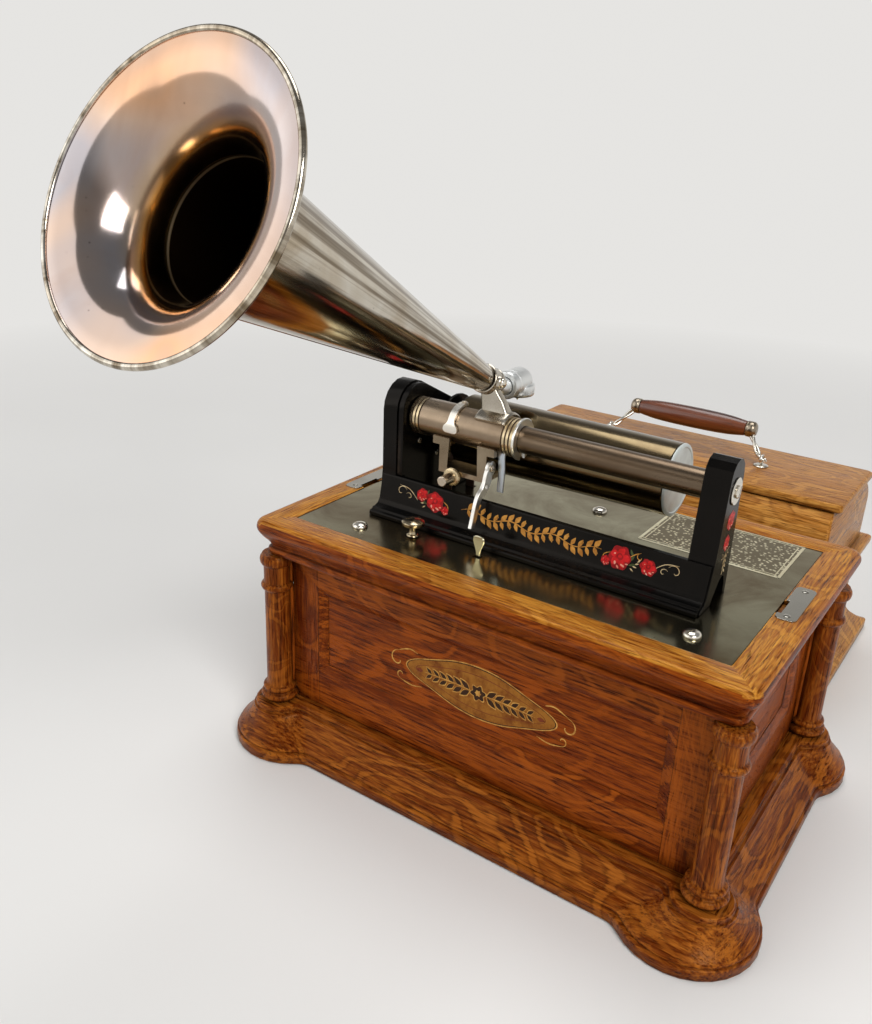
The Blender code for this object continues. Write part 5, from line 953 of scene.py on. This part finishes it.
def reproducer_piece():
    """Reproducer: a stepped disc under a closed barrel, with the arm that joins it to the horn."""
    profile = mm((-3.4, 0), (-3.4, 0.3), (-2.4, 0.9), (0, 1), (0, 8.8), (0.4, 9.8), (1, 10.3), (1.4, 10.5),
                 (2.4, 10.5), (2.7, 10.1), (3.1, 10.1), (3.4, 10.5), (6.6, 10.5), (7.2, 10.2), (7.8, 9.4),
                 (7.8, 0))
    disc = turned("reproducer_skin", profile, axis_frame((NECK_X, 0.0195, 0.2348), (0, 0, 1)), 96, alu,
                  "carriage", "reproducer")
    barrel = mm((0, 0), (0, 7.8), (0.3, 8.4), (0.8, 8.6), (5.6, 8.6), (5.9, 8.1), (6.4, 8.1), (6.7, 8.6),
                (17.6, 8.6), (19.8, 8.1), (21.8, 6.6), (23.2, 4.6), (23.8, 2.4), (24, 0))
    add(disc, revolve(barrel, axis_frame((NECK_X, 0.003, NECK_Z), (0, 1, 0)), 72))
    carve(disc, rod((NECK_X, -0.006, NECK_Z), (NECK_X, 0.0115, NECK_Z), 0.0058, 48))
    soften(disc, "soft", 0.00025, 50)
    path = curve([tuple(HORN_START - 0.0003 * HORN_AIM), tuple(HORN_START - 0.0022 * HORN_AIM),
                  (NECK_X, -0.006, 0.2446), (NECK_X, -0.003, 0.2437), (NECK_X, 0.0005, NECK_Z),
                  (NECK_X, 0.01, NECK_Z)])
    finish_mesh("arm_skin", sweep(path, 0.0054, 40), alu, "carriage", "reproducer_arm", 50)


reproducer_piece()

# yoke pin with a brass band
PIN_REAR = -0.0276
pin = turned("pin_skin", mm((0, 0), (0, 1.4), (2.9, 1.4), (2.9, 5.2), (3.1, 5.6), (3.5, 5.6), (3.7, 5.1),
                            (4, 5.1), (4.2, 5.6), (4.7, 5.6), (4.9, 5.3), (5.1, 3.6), (6, 3.4), (14.3, 3.4),
                            (14.9, 3.2), (15.2, 2.7), (15.2, 0)),
             axis_frame((-0.0582, PIN_REAR, 0.1907), (0, -1, 0)), 48, [nickel, brass_ring], "carriage",
             "yoke_pin", 30)
for f in pin.data.polygons:
    f.material_index = int(0.0028 < PIN_REAR - f.center.y < 0.0053)


def over_sleeve(u, deg, r):
    a = math.radians(deg)
    return (-0.062 + u, TUBE_Y + r * math.cos(a), TUBE_Z + r * math.sin(a))


def paddle_piece():
    """Paddle: a finger disc with a scalloped neck and a stem that sweeps over the sleeve."""
    inner_r, outer_r, screw_at = 0.0122, 0.0138, 84
    half = curve([(188, 0.0), (189.5, 2.0), (188.5, 3.6), (186, 4.4), (182, 5.0), (176, 4.9), (171, 4.4),
                  (167.5, 3.6), (165, 3.0), (161, 2.4), (156, 2.2), (150, 2.2), (140, 2.3), (120, 2.3),
                  (100, 2.2), (85, 2.2), (77, 2.1), (75.2, 1.6)], 4)
    rows = []
    for deg, w in half:
        w = max(w / 1000, 0.0002)
        rows.append([over_sleeve(side * w, deg, r)
                     for r, side in ((inner_r, -1), (inner_r, 1), (outer_r, 1), (outer_r, -1))])
    paddle = finish_mesh("paddle_skin", loft(rows), paddle_metal, "paddle", "paddle_lever", 50)
    soften(paddle, "soft", 0.00025, 50)
    a = math.radians(screw_at)
    screw("paddle_screw", over_sleeve(0, screw_at, outer_r), Vector((0, math.cos(a), math.sin(a))), 0.0017,
          0.001, "paddle", nickel, turn=50)


paddle_piece()

HOOK_LEFT, HOOK_RIGHT = -0.0338, -0.0314
HOOK_Y, HOOK_Z = -0.0289, 0.2016


def across_hook(y, z, reach, r, segs, bevel=0.0):
    return rod((HOOK_LEFT - reach, y, z), (HOOK_RIGHT + reach, y, z), r, segs, bevel)


def hook_piece():
    """Lift lever: a hooked strap with an eye, a round hole and its tip before the rail."""
    middle = curve(mm((-28.9, 201.6), (-31, 198.5), (-32.7, 193.7), (-36.4, 189.3), (-40.2, 187.1),
                      (-42.6, 182.5), (-44.2, 177.5), (-45.6, 173), (-47.1, 168.6)), 5)
    front, rear = both_sides(middle, [
        0.0038 - 0.0012 * min(1.0, max(0.0, t - 0.22) / 0.26) - 0.0005 * max(0.0, t - 0.5) * 2
        for t in shares(middle)])
    strap = plate(rear[::-1] + front, lambda u, v, w: (HOOK_LEFT + w, u, v), HOOK_RIGHT - HOOK_LEFT)
    hook = finish_mesh("hook_skin", strap, lever_bright, "hook", "lift_lever", 50)
    add(hook, across_hook(HOOK_Y, HOOK_Z, -0.0001, 0.0047, 40, 0.0003))
    carve(hook, across_hook(HOOK_Y, HOOK_Z, 0.002, 0.0013, 24))
    carve(hook, across_hook(-0.0342, 0.1916, 0.002, 0.0014, 24))


hook_piece()


def guide_piece():
    """Guide arm: a blued steel strip, bowed below its seat on the sleeve."""
    x0, y0 = -0.0272, -0.025
    middle = curve([(x0 + x / 1000, z / 1000) for x, z in ((-0.2, 211.8), (-0.3, 208), (0.2, 203), (0.4, 198),
                                                           (0.1, 192), (0, 186.7))], 5)
    widths = [0.0025 - 0.0004 * min(1.0, t * 1.6) for t in shares(middle)]
    left, right = ([(x + side * w, z) for (x, z), w in zip(middle, widths)] for side in (-1, 1))
    strip = plate(left + right[::-1], lambda u, v, w: (u, y0 - 0.0008 + w, v), 0.0016)
    finish_mesh("guide_skin", strip, steel_blue, "carriage", "guide_arm", 50)


guide_piece()

# controls on the bedplate
KNOB = mm((-8, 0), (-8, 2.4), (0.4, 2.4), (0.4, 3.6), (1, 4), (1.6, 3.6), (2, 2.8), (3.2, 2.3), (5.2, 2.2),
          (6.4, 2.6), (7.1, 4), (7.5, 6), (7.9, 6.8), (8.3, 7), (9.7, 7), (10.1, 6.7), (10.4, 6), (10.7, 5),
          (11.1, 3.6), (11.4, 2), (11.6, 0))
turned("knob_skin", KNOB, axis_frame((-0.0672, -0.058, BED_TOP), (0, 0, 1)), 64, knob_worn, "knob",
       "thumb_knob", 30)


def start_lever_piece():
    """Start lever: a thin leaf on a cross rod, spread and rounded at its top."""
    x0, y0, pivot = -0.0205, -0.0572, 0.1508
    right = curve(mm((1.4, 148), (1.4, 158.5), (1.5, 160.4), (2.1, 162.4), (2.9, 164.5), (3.7, 166.8),
                     (3.9, 168.4), (3.4, 169.8), (2, 170.6), (0, 170.8)), 4)
    outline = right + [(-x, z) for x, z in reversed(right[:-1])]
    leaf_bm = plate(outline, lambda u, v, w: (x0 + u, y0 - 0.0006 + w, v), 0.0012, 0.0004)
    lever = finish_mesh("start_skin", leaf_bm, lever_worn, "start", "start_lever", 50)
    add(lever, rod((x0 - 0.004, y0, pivot), (x0 + 0.004, y0, pivot), 0.0009, 20))


start_lever_piece()

# screws of the case and the works
UP, RIGHT = (0, 0, 1), (1, 0, 0)
for i, (x, y, turn) in enumerate(((-0.101, -0.0675, 25), (0.114, -0.066, 65), (0.0045, 0.0524, 10))):
    screw("bed_screw_%d" % i, (x, y, BED_TOP), UP, 0.0048, 0.003, "case", nickel_bright, 0.72, turn)
for i, (y, z) in enumerate(mm((-15.1, 44.2), (-16.2, 15.4), (4.8, 31.1))):
    screw("cover_screw_%d" % i, (-0.095, y, BED_TOP + z), RIGHT, 0.0017, 0.0007, "case", nickel_bright,
          turn=30 + 50 * i)
turned("end_washer", mm((0, 0), (0, 7.3), (0.3, 7.6), (0.6, 7.6), (0.9, 7.2), (0.9, 0)),
       axis_frame((0.1098, TUBE_Y, TUBE_Z), RIGHT), 64, nickel_bright, "case")
screw("end_screw", (0.1107, TUBE_Y, TUBE_Z), RIGHT, 0.0036, 0.0014, "case", nickel_bright, 0.4, 70)
for i, x in enumerate((-0.147, 0.147)):
    for k, y in enumerate((-0.0165, 0.0185)):
        screw("clip_screw_%d%d" % (i, k), (x, y, 0.1588), UP, 0.0019, 0.00045, "case", clip_nickel, 0.6,
              20 + 70 * k + 40 * i)
stud = rod((HOOK_LEFT - 0.0001, HOOK_Y, HOOK_Z), (-0.0308, HOOK_Y, HOOK_Z), 0.0011, 24, 0.0002)
finish_mesh("hook_stud", stud, steel, "carriage")
screw("hook_stud_head", (-0.0312, HOOK_Y, HOOK_Z), RIGHT, 0.0021, 0.0009, "carriage", nickel, turn=15)


# lid

LID_HALF_X, LID_HALF_Y = 0.135, 0.064
FOOT_OUT_X, FOOT_OUT_Y = 0.0155, 0.029
CROWN_LOW, CROWN_HIGH = 0.1238, 0.1455


def lid_ring(hx, hy, z, r=0.0028):
    return [(LID_X + x, LID_Y + y, z) for x, y in rounded(hx, hy, min(r, hy / 4))]


def lid_piece():
    """Lid box: moulded foot, band round the middle, rounded crown and a plain inside."""
    foot = [(0.0, 0.975), (0.01, 0.992), (0.03, 1.0), (0.22, 1.0), (0.245, 0.985), (0.262, 0.94)]
    foot += curve([(0.27, 0.92), (0.35, 0.75), (0.45, 0.58), (0.65, 0.3), (0.8, 0.15), (0.84, 0.12)], 4)
    foot += [(0.85, 0.085), (0.87, 0.055), (0.9, 0.05), (1.0, 0.05), (1.015, 0.03), (1.02, 0.0)]
    levels = [(LID_HALF_X + o * FOOT_OUT_X, LID_HALF_Y + o * FOOT_OUT_Y, u * 0.03) for u, o in foot]
    band = [(0.0, 0.0), (0.02, 0.25), (0.06, 0.45), (0.16, 0.56), (0.27, 0.66), (0.32, 0.76), (0.37, 0.9),
            (0.43, 0.975), (0.5, 1.0), (0.78, 1.0), (0.86, 0.97), (0.93, 0.88), (0.97, 0.7), (1.0, 0.0)]
    levels += [(LID_HALF_X + o * 0.008, LID_HALF_Y + o * 0.008, 0.082 + u * 0.01) for u, o in band]
    crown = curve([(0.0, 0.0), (0.22, 0.06), (0.45, 0.2), (0.66, 0.42), (0.84, 0.68), (1.0, 1.0)], 4)
    levels += [(LID_HALF_X - i * 0.003, LID_HALF_Y - i * 0.016, CROWN_LOW + u * (CROWN_HIGH - CROWN_LOW))
               for u, i in crown]
    inside = [(LID_HALF_X - 0.009, LID_HALF_Y - 0.022, CROWN_HIGH - 0.006)]
    inside += [(LID_HALF_X - 0.006, LID_HALF_Y - 0.006, z) for z in (CROWN_LOW, 0.0)]
    bm = bmesh.new()
    outer, inner = ([[bm.verts.new(p) for p in lid_ring(*v)] for v in walls] for walls in (levels, inside))
    for a, b in zip(outer, outer[1:]):
        bridge(bm, a, b)
    bm.faces.new(outer[-1])
    bm.faces.new(inner[0]).material_index = 2
    for a, b in zip(inner, inner[1:] + outer[:1]):
        bridge(bm, a, b, 2)
    lid = finish_mesh("lid_skin", bm, [oak_lid, oak_lid_y, oak_inside], "lid_set", "lid", 40)
    for f in lid.data.polygons:
        at_end = abs(f.normal.x) > 0.8 * abs(f.normal.y) and abs(f.center.x - LID_X) > 0.12
        if f.material_index == 0 and at_end:
            f.material_index = 1
    edge = mm((1.8, 0), (0.6, 0.5), (0, 1.6), (0, 4.2), (0.6, 5.6), (1.8, 6.2))
    board = loft([lid_ring(0.1372 - i, 0.048 - i, 0.1458 + u, 0.0035) for i, u in edge])
    finish_mesh("board_skin", board, oak_board, "lid_set", "lid_board", 50)


lid_piece()


def eye_piece(name, x):
    """Handle eye: a ring standing on a round foot."""
    profile = mm((0, 0), (0, 5.5), (0.332, 5.5), (0.83, 4.6), (0.996, 3), (0.996, 0))
    eye = turned(name + "_skin", profile, axis_frame((x, LID_Y, 0.1523), UP), 48, bail_nickel, "lid_set",
                 name, 40)
    rings = []
    for i in range(48):
        t = 2 * math.pi * i / 48
        out = Vector((0, math.cos(t), math.sin(t)))
        rings.append([Vector((x, LID_Y, HINGE_Z)) + out * (0.003 + 0.0011 * math.cos(2 * math.pi * k / 16))
                      + Vector(RIGHT) * 0.0011 * math.sin(2 * math.pi * k / 16) for k in range(16)])
    add(eye, loft(rings, closed=True))


eye_piece("handle_eye_left", LID_X - 0.064)
eye_piece("handle_eye_right", LID_X + 0.064)

# handle, leaning back on its hinges; x runs along the grip and z from the hinge line to it
HANDLE = Matrix.Rotation(math.radians(-38.0), 4, "X")
HANDLE.translation = Vector((LID_X, LID_Y, HINGE_Z))
GRIP_END, EYE_X, GRIP_Z = 0.0448, 0.067, 0.0225


def twisted(line, wire, offset, turns):
    """Two wires laid round each other along a line, drawn together toward its start."""
    line = [Vector(p) for p in line]
    bm = bmesh.new()
    side = Vector((0, 1, 0))
    for half in (0, math.pi):
        strand = []
        for p, ahead, t in zip(line, headings(line), shares(line)):
            side = (side - ahead * side.dot(ahead)).normalized()
            a = half + 2 * math.pi * turns * t
            reach = offset * min(1.0, 0.35 + 2.2 * max(0.0, t - 0.25))
            strand.append(p + reach * (math.cos(a) * side + math.sin(a) * ahead.cross(side)))
        sweep(strand, wire, 14, bm)
    return bm


path = [(GRIP_END + out * (EYE_X - GRIP_END), 0, max(0.0, up) * GRIP_Z) for out, up in
        ((1.0, 0.0), (0.93, -0.015), (0.86, 0.02), (0.78, 0.06), (0.68, 0.16), (0.45, 0.5), (0.2, 0.85),
         (0.12, 0.96), (0.02, 1.0))]
ferrule = mm((0, 0), (0, 5.4), (0.3, 6.1), (1.2, 6.3), (1.6, 6), (2, 6.3), (5.2, 6.2), (6.6, 5.5), (7.6, 4.2),
             (8, 2.6), (8, 0))
for sign in (-1, 1):
    line = curve([tuple(HANDLE @ Vector((sign * x, y, z))) for x, y, z in path], 7)
    bm = twisted(line, 0.0012, 0.0011, 2.5)
    cup = axis_frame(HANDLE @ Vector((sign * GRIP_END, 0, GRIP_Z)), HANDLE.to_3x3() @ Vector((sign, 0, 0)))
    revolve(ferrule, cup, 48, bm, 1)
    finish_mesh("bail_%d" % sign, bm, [bail_nickel, cup_nickel], "handle",
                "handle_bails" if sign < 0 else None, 60)
half = mm((-44.2, 5.8), (-40, 6.45), (-31, 7.55), (-18, 8.2), (0, 8.4))
belly = curve(half + [(-x, r) for x, r in reversed(half[:-1])], 5)
prof = mm((-44.5, 2.4), (-44.5, 5.4)) + belly + mm((44.5, 5.4), (44.5, 2.4))
turned("grip_skin", prof, HANDLE @ Matrix.Translation((0, 0, GRIP_Z)), 64, grip_wood, "handle", "handle_grip")


# painted ornament

gold = paint("gold_leaf", (0.66, 0.32, 0.07), (0.38, 0.15, 0.03), 0.38, metallic=0.35)
gold_pale = paint("gold_pale", (0.74, 0.6, 0.36), (0.5, 0.34, 0.16), 0.36, metallic=0.3)
rose_deep = paint("rose_deep", (0.4, 0.012, 0.02), (0.2, 0.004, 0.01), 0.36)
rose_red = paint("rose_red", (0.72, 0.02, 0.028), (0.48, 0.008, 0.012), 0.34)
rose_pink = paint("rose_pink", (0.86, 0.48, 0.36), (0.7, 0.2, 0.14), 0.36)
leaf_green = paint("leaf_green", (0.07, 0.1, 0.04), (0.03, 0.05, 0.02), 0.45)
transfer = paint("transfer_brown", (0.2, 0.04, 0.014), (0.12, 0.02, 0.008), 0.3)
gilt = paint("transfer_gilt", (0.66, 0.36, 0.085), (0.36, 0.15, 0.03), 0.34, metallic=0.25)
field_gold = paint("transfer_field", (0.33, 0.13, 0.018), (0.16, 0.04, 0.005), 0.34, 120.0, 0.15)
ink = paint("transfer_ink", (0.02, 0.007, 0.004), (0.035, 0.012, 0.006), 0.34)


def turn_points(points, x, y, angle):
    """Points turned by an angle and moved to x and y."""
    c, s = math.cos(angle), math.sin(angle)
    return [(x + a * c - b * s, y + a * s + b * c) for a, b in points]


def petal(x, y, r, turn, squash=1.0, lobes=5, depth=0.14, n=30):
    """A lobed round blot, flattened and turned."""
    pts = []
    for i in range(n):
        a = 2 * math.pi * i / n
        k = r * (1 - depth / 2 + depth / 2 * math.cos(lobes * a + turn * 1.3))
        pts.append((k * math.cos(a), k * math.sin(a) * squash))
    return turn_points(pts, x, y, turn)


class Face:
    """A flat painted face in millimetres: u to the right, v upward, laid just proud of the surface."""

    THICK = 0.04

    def __init__(self, origin, u, v):
        self.o, self.u, self.v = Vector(origin), Vector(u).normalized(), Vector(v).normalized()
        self.n = self.u.cross(self.v).normalized()
        self.parts = {}

    def verts(self, mat, points, lift):
        """The bmesh kept for a paint, and new vertices of it at points of the face."""
        bm = self.parts.setdefault(mat.name, (mat, bmesh.new()))[1]
        return bm, [bm.verts.new(self.o + (self.u * a + self.v * b + self.n * lift) / 1000)
                    for a, b in points]

    def blob(self, mat, outline, lift):
        bm, top = self.verts(mat, outline, lift)
        low = self.verts(mat, outline, lift - self.THICK)[1]
        bm.faces.new(top)
        bm.faces.new(low[::-1])
        bridge(bm, low, top)

    def stroke(self, mat, points, width, lift=0.05, taper=(0.35, 0.2)):
        """A brush line through points, thinner toward its start and its end."""
        pts = curve(points)
        start, end = taper
        left, right = both_sides(pts, [
            width / 2 * (start + (1 - start) * min(1, t * 3)) * (end + (1 - end) * min(1, (1 - t) * 3))
            for t in shares(pts)])
        corners = [self.verts(mat, side, height)[1] for side, height in
                   ((left, lift), (right, lift), (right, lift - self.THICK), (left, lift - self.THICK))]
        rows = list(zip(*corners))
        bm = self.parts[mat.name][1]
        for p, q in zip(rows, rows[1:]):
            bridge(bm, p, q)
        bm.faces.new(rows[0])
        bm.faces.new(rows[-1])

    def leaf(self, mat, x, y, length, deg, lift=0.05, width=0.32):
        pts = [(t * length, w * length * width / 2) for t, w in
               ((0, 0), (0.2, 0.6), (0.42, 1.0), (0.68, 0.75), (0.88, 0.3), (1, 0))]
        loop = pts + [(a, -b) for a, b in reversed(pts[1:-1])]
        self.blob(mat, turn_points(loop, x, y, math.radians(deg)), lift)

    def scroll(self, mat, x, y, size, turn, flip, width):
        """A spiral tendril that curls inward."""
        pts = []
        for i in range(13):
            a, r = turn + flip * (i / 12 * 4.6), size * (1 - 0.82 * i / 12)
            pts.append((x + r * math.cos(a), y + r * math.sin(a)))
        self.stroke(mat, pts, width, taper=(0.3, 0.5))

    def rose(self, x, y, r, turn, lift=0.06):
        """Traditional painted rose: deep base, lighter petals and pale dabs, most of them low."""
        self.blob(rose_deep, petal(x, y, r, turn, 0.92, 6), lift)
        for k in range(5):
            a = turn + 2 * math.pi * k / 5
            self.blob(rose_red, petal(x + 0.46 * r * math.cos(a), y + 0.42 * r * math.sin(a), r * 0.4,
                                      a, 0.75, 3, 0.2, 18), lift + 0.02)
        self.blob(rose_deep, petal(x, y + 0.08 * r, r * 0.3, turn + 1, 0.9, 4), lift + 0.04)
        self.blob(rose_red, petal(x, y + 0.12 * r, r * 0.17, turn + 2, 0.8, 3), lift + 0.06)
        for deg, far, size in ((-60, 0.62, 0.2), (-95, 0.72, 0.16), (-125, 0.55, 0.17), (-30, 0.7, 0.12),
                               (150, 0.5, 0.1)):
            a = math.radians(deg)
            self.blob(rose_pink, petal(x + far * r * math.cos(a), y + far * r * math.sin(a), r * size,
                                       a + 0.6, 0.55, 2, 0.3, 14), lift + 0.06)

    def rose_group(self, x, y, r, side):
        """A rose and a bud with leaves and gold tendrils that run outward."""
        mirror = (lambda deg: deg) if side > 0 else (lambda deg: 180 - deg)
        for k in range(3):
            self.leaf(leaf_green, x + side * (5.6 + k), y - 2.6 + 2.6 * k, 4.8, mirror(20 + 50 * k), 0.03)
        self.scroll(gold, x + side * 11.8, y + 3.4, 2.6, math.pi / 2, side, 0.46)
        for stem in (((5.0, 1.4), (8.5, 4.4), (11.8, 6.0)), ((-6.0, 2.0), (-9.2, 0.2), (-10.5, -3.0))):
            self.stroke(gold, [(x + side * a, y + b) for a, b in stem], 0.5)
        self.rose(x, y + 0.2, r, 0.4 + side)
        self.rose(x - side * 8.0, y - 3.4, r * 0.42, 1.9)
        for k in range(4):
            self.leaf(gold_pale, x + side * (6.8 + 1.2 * k), y - 3.8 + 1.4 * k, 2.6, mirror(28 * k - 35),
                      0.06)

    def done(self, name):
        for k, (mat, bm) in enumerate(self.parts.values()):
            finish_mesh("%s_%d" % (name, k), bm, mat, "case", smooth=60)


def paint_rail():
    """Rail face, leaning back from its lower edge: roses at both ends and a band of gold leaves."""
    low, high = Vector((0, -0.0378, 0.1661)), Vector((0, -0.0348, 0.1812))
    tall = (high - low).length * 1000
    face = Face(low, (1, 0, 0), high - low)
    face.rose_group(-66.5, tall * 0.46, 7.0, -1)
    face.rose(-76.5, tall * 0.62, 4.6, 0.9)
    face.rose_group(58.5, tall * 0.46, 7.4, 1)
    face.rose(75.5, tall * 0.42, 5.2, 2.6)
    for side, x, turns in ((-1, -92.5, (0.4, 2.6)), (1, 90.5, (2.7, 0.5))):
        face.scroll(gold_pale, x, tall * 0.52, 4.2, turns[0], -side, 0.42)
        face.scroll(gold_pale, x - side * 6.2, tall * 0.4, 2.6, turns[1], side, 0.36)
        face.stroke(gold_pale, [(x - side * 13, tall * 0.35), (x - side * 6, tall * 0.7),
                                (x + side * 2, tall * 0.78)], 0.42)
    wave = [(4.7 * (i - 10), tall * 0.5 + 1.6 * math.sin(i * 1.05)) for i in range(21)]
    face.stroke(gold, wave, 0.7, taper=(0.3, 0.3))
    for i in range(1, 20):
        x, y = wave[i]
        side = 1 if math.sin(i * 1.05) > 0 else -1
        face.leaf(gold, x, y, 6.2, 52 * side, 0.05, 0.5)
        face.leaf(gold, x, y, 5.4, -64 * side, 0.06, 0.48)
        if i % 2:
            face.blob(gold, petal(x + 2.2, y - side * 3.2, 0.7, 0, 1, 1, 0, 12), 0.06)
    face.done("rail_paint")


def paint_standard():
    """The right standard's outer face: two roses over a hanging spray."""
    face = Face((0.1098, TUBE_Y, 0.199), (0, 1, 0), (0, 0, 1))
    face.rose(0.0, 4.6, 6.0, 0.5)
    face.rose(-1.2, -8.2, 4.8, 1.8)
    face.scroll(gold_pale, 4.8, -15.0, 2.6, 1.0, 1, 0.4)
    face.scroll(gold_pale, -4.8, -16.0, 2.4, 2.0, -1, 0.4)
    face.stroke(gold_pale, [(0.0, -10.0), (0.8, -18.0), (-0.6, -26.0)], 0.5)
    for k in range(4):
        for deg in (-50, 230):
            face.leaf(gold_pale, 0.4, -15.0 - 3.0 * k, 3.8, deg)
    face.done("standard_paint")


def lobed(a, b, n=72):
    """A long oval whose outline is drawn in at the four quarters."""
    pts = []
    for i in range(n):
        t = 2 * math.pi * i / n
        k = 1 + 0.075 * math.cos(4 * t)
        pts.append((a * k * math.cos(t), b * (k + 0.05) * math.sin(t)))
    return pts


def paint_panel():
    """Front panel: a plain gilt cartouche with laurel sprays, no lettering."""
    face = Face((0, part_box("panel_front")[0][1], 0.0842), (1, 0, 0), (0, 0, 1))
    for k, (mat, a, b) in enumerate(((gilt, 49.0, 15.8), (ink, 48.2, 15.1), (field_gold, 47.6, 14.5),
                                     (transfer, 42.0, 10.4), (field_gold, 41.5, 10.0))):
        face.blob(mat, lobed(a, b), 0.05 + 0.03 * k)
    for side in (-1, 1):
        face.scroll(gilt, side * 58.5, 1.0, 6.6, math.pi / 2, -side, 0.9)
        face.scroll(gilt, side * 56.0, -8.5, 3.6, -math.pi / 2, side, 0.7)
        for line, width in ((((44.0, 10.0), (50.0, 11.2), (58.5, 7.8)), 0.9),
                            (((40.0, -12.0), (48.0, -13.6), (56.0, -12.2)), 0.8)):
            face.stroke(gilt, [(side * a, b) for a, b in line], width, 0.06)
        for k in range(6):
            x, size = side * (6.0 + 5.4 * k), 8.2 - 0.55 * k
            for deg, rise in ((90 - side * 52, 0.0), (-90 + side * 52, -0.6)):
                face.leaf(gilt, x - side * 0.3, rise, size + 1.0, deg, 0.19, 0.5)
                face.leaf(ink, x, rise, size, deg, 0.22, 0.42)
        face.stroke(gilt, [(side * 4.0, 0.0), (side * 20.0, 0.4), (side * 38.5, -0.4)], 0.8, 0.24)
        face.leaf(transfer, side * 39.5, -0.3, 5.2, 0 if side > 0 else 180, 0.2, 0.6)
    for mat, r, turn, depth, n, lift in ((gilt, 6.2, 0.3, 0.32, 60, 0.24), (ink, 5.4, 0.3, 0.32, 60, 0.27),
                                         (gilt, 2.2, 0.0, 0.3, 40, 0.3)):
        face.blob(mat, petal(0, 0, r, turn, 1, 6, depth, n), lift)
    face.done("panel_gilt")


def paint_plate():
    """Bordered stippled plate area of the bedplate, with no words."""
    middle = (0.086, 0.0555, BED_TOP)
    border = Face(middle, (1, 0, 0), (0, 1, 0))
    for half_x, half_y, wide in ((43.0, 26.5, 1.8), (40.4, 23.9, 0.7)):
        corners = [(-half_x, -half_y), (half_x, -half_y), (half_x, half_y), (-half_x, half_y)]
        for a, b in zip(corners, corners[1:] + corners[:1]):
            border.stroke(plate_metal, [a, ((a[0] + b[0]) / 2, (a[1] + b[1]) / 2), b], wide, 0.16, (1, 1))
    border.done("plate_border")
    ground = Face(middle, (1, 0, 0), (0, 1, 0))
    ground.blob(stipple, [(-42.2, -25.7), (42.2, -25.7), (42.2, 25.7), (-42.2, 25.7)], 0.08)
    ground.done("plate_field")


paint_rail()
paint_standard()
paint_panel()
paint_plate()


# studio: floor, pale backdrop, lamps and camera

PALE = (0.79, 0.78, 0.76)


def pale_floor(name):
    """A pale floor whose far part is shown as pale as the backdrop."""
    s = Shader(name)
    tone = s.ramp(s.noise(3, detail=2.0), [(0.3, (0.78, 0.77, 0.75)), (0.7, (0.81, 0.8, 0.78))])
    s.set(Base_Color=tone, Roughness=0.7)
    far = s.node("VectorMath", s.coord, operation="LENGTH").outputs["Value"]
    glow = s.node("Emission", PALE, 1.0).outputs[0]
    both = s.node("MixShader", s.times(s.seen(), s.span(far, 0.6, 1.5)), s.bsdf.outputs[0], glow)
    s.put(s.tree.nodes["Material Output"].inputs["Surface"], both.outputs[0])
    return s.mat


REACH = 14.0
mesh = bpy.data.meshes.new("floor")
mesh.from_pydata([(x * REACH, y * REACH, -0.0002) for x, y in ((-1, -1), (1, -1), (1, 1), (-1, 1))],
                 [], [(0, 1, 2, 3)])
mesh.materials.append(pale_floor("floor_pale"))
floor = show("floor", mesh)


class Sky(Shader):
    """The world's node tree, with the direction as its coordinate."""

    def __init__(self, name):
        self.world = bpy.data.worlds.new(name)
        self.world.use_nodes = True
        self.tree = self.world.node_tree
        self.coord = self.tree.nodes.new("ShaderNodeTexCoord").outputs["Generated"]


# dim soft light all round; the backdrop is shown pale up to well above the horizon
sky = Sky("studio")
bpy.context.scene.world = sky.world
band = sky.times(sky.seen(), sky.span(sky.axes(sky.coord)[2], 0.3, 0.55, 1.0, 0.0))
background = sky.tree.nodes["Background"].inputs
sky.put(background["Color"], sky.mix(band, (0.24, 0.24, 0.24), PALE))
sky.put(background["Strength"], 1.0)


def lamp(name, place, target, size, power):
    data = bpy.data.lights.new(name, "AREA")
    data.shape = "RECTANGLE"
    data.size, data.size_y = size, size
    data.energy = power
    thing = show(name, data)
    thing.location = place
    thing.rotation_euler = (Vector(target) - Vector(place)).to_track_quat("-Z", "Y").to_euler()


lamp("key", (1.3, -0.9, 1.5), (0, 0.05, 0.1), 0.9, 26)
lamp("fill", (-1.7, -1.6, 1.5), (0, 0.05, 0.15), 2.6, 25)
lamp("top", (-0.2, 0.6, 1.9), (0, 0.05, 0.1), 1.0, 14)

# camera at the photo's angle
azimuth, elevation, roll = math.radians(34.2152), math.radians(22.8583), math.radians(2.2473)
level = math.cos(elevation)
back = Vector((math.sin(azimuth) * level, -math.cos(azimuth) * level, math.sin(elevation)))
right = Vector((math.cos(azimuth), math.sin(azimuth), 0))
above = back.cross(right)
cam_data = bpy.data.cameras.new("camera")
cam_data.lens = 33.63
cam_data.sensor_width = 36
cam_data.clip_start = 0.01
cam = show("camera", cam_data)
view = Matrix((math.cos(roll) * right + math.sin(roll) * above,
               math.cos(roll) * above - math.sin(roll) * right, back)).transposed().to_4x4()
view.translation = Vector((0.2432, -0.4904, 0.3984))
cam.matrix_world = view
bpy.context.scene.camera = cam
bpy.context.scene.view_settings.view_transform = "Standard"
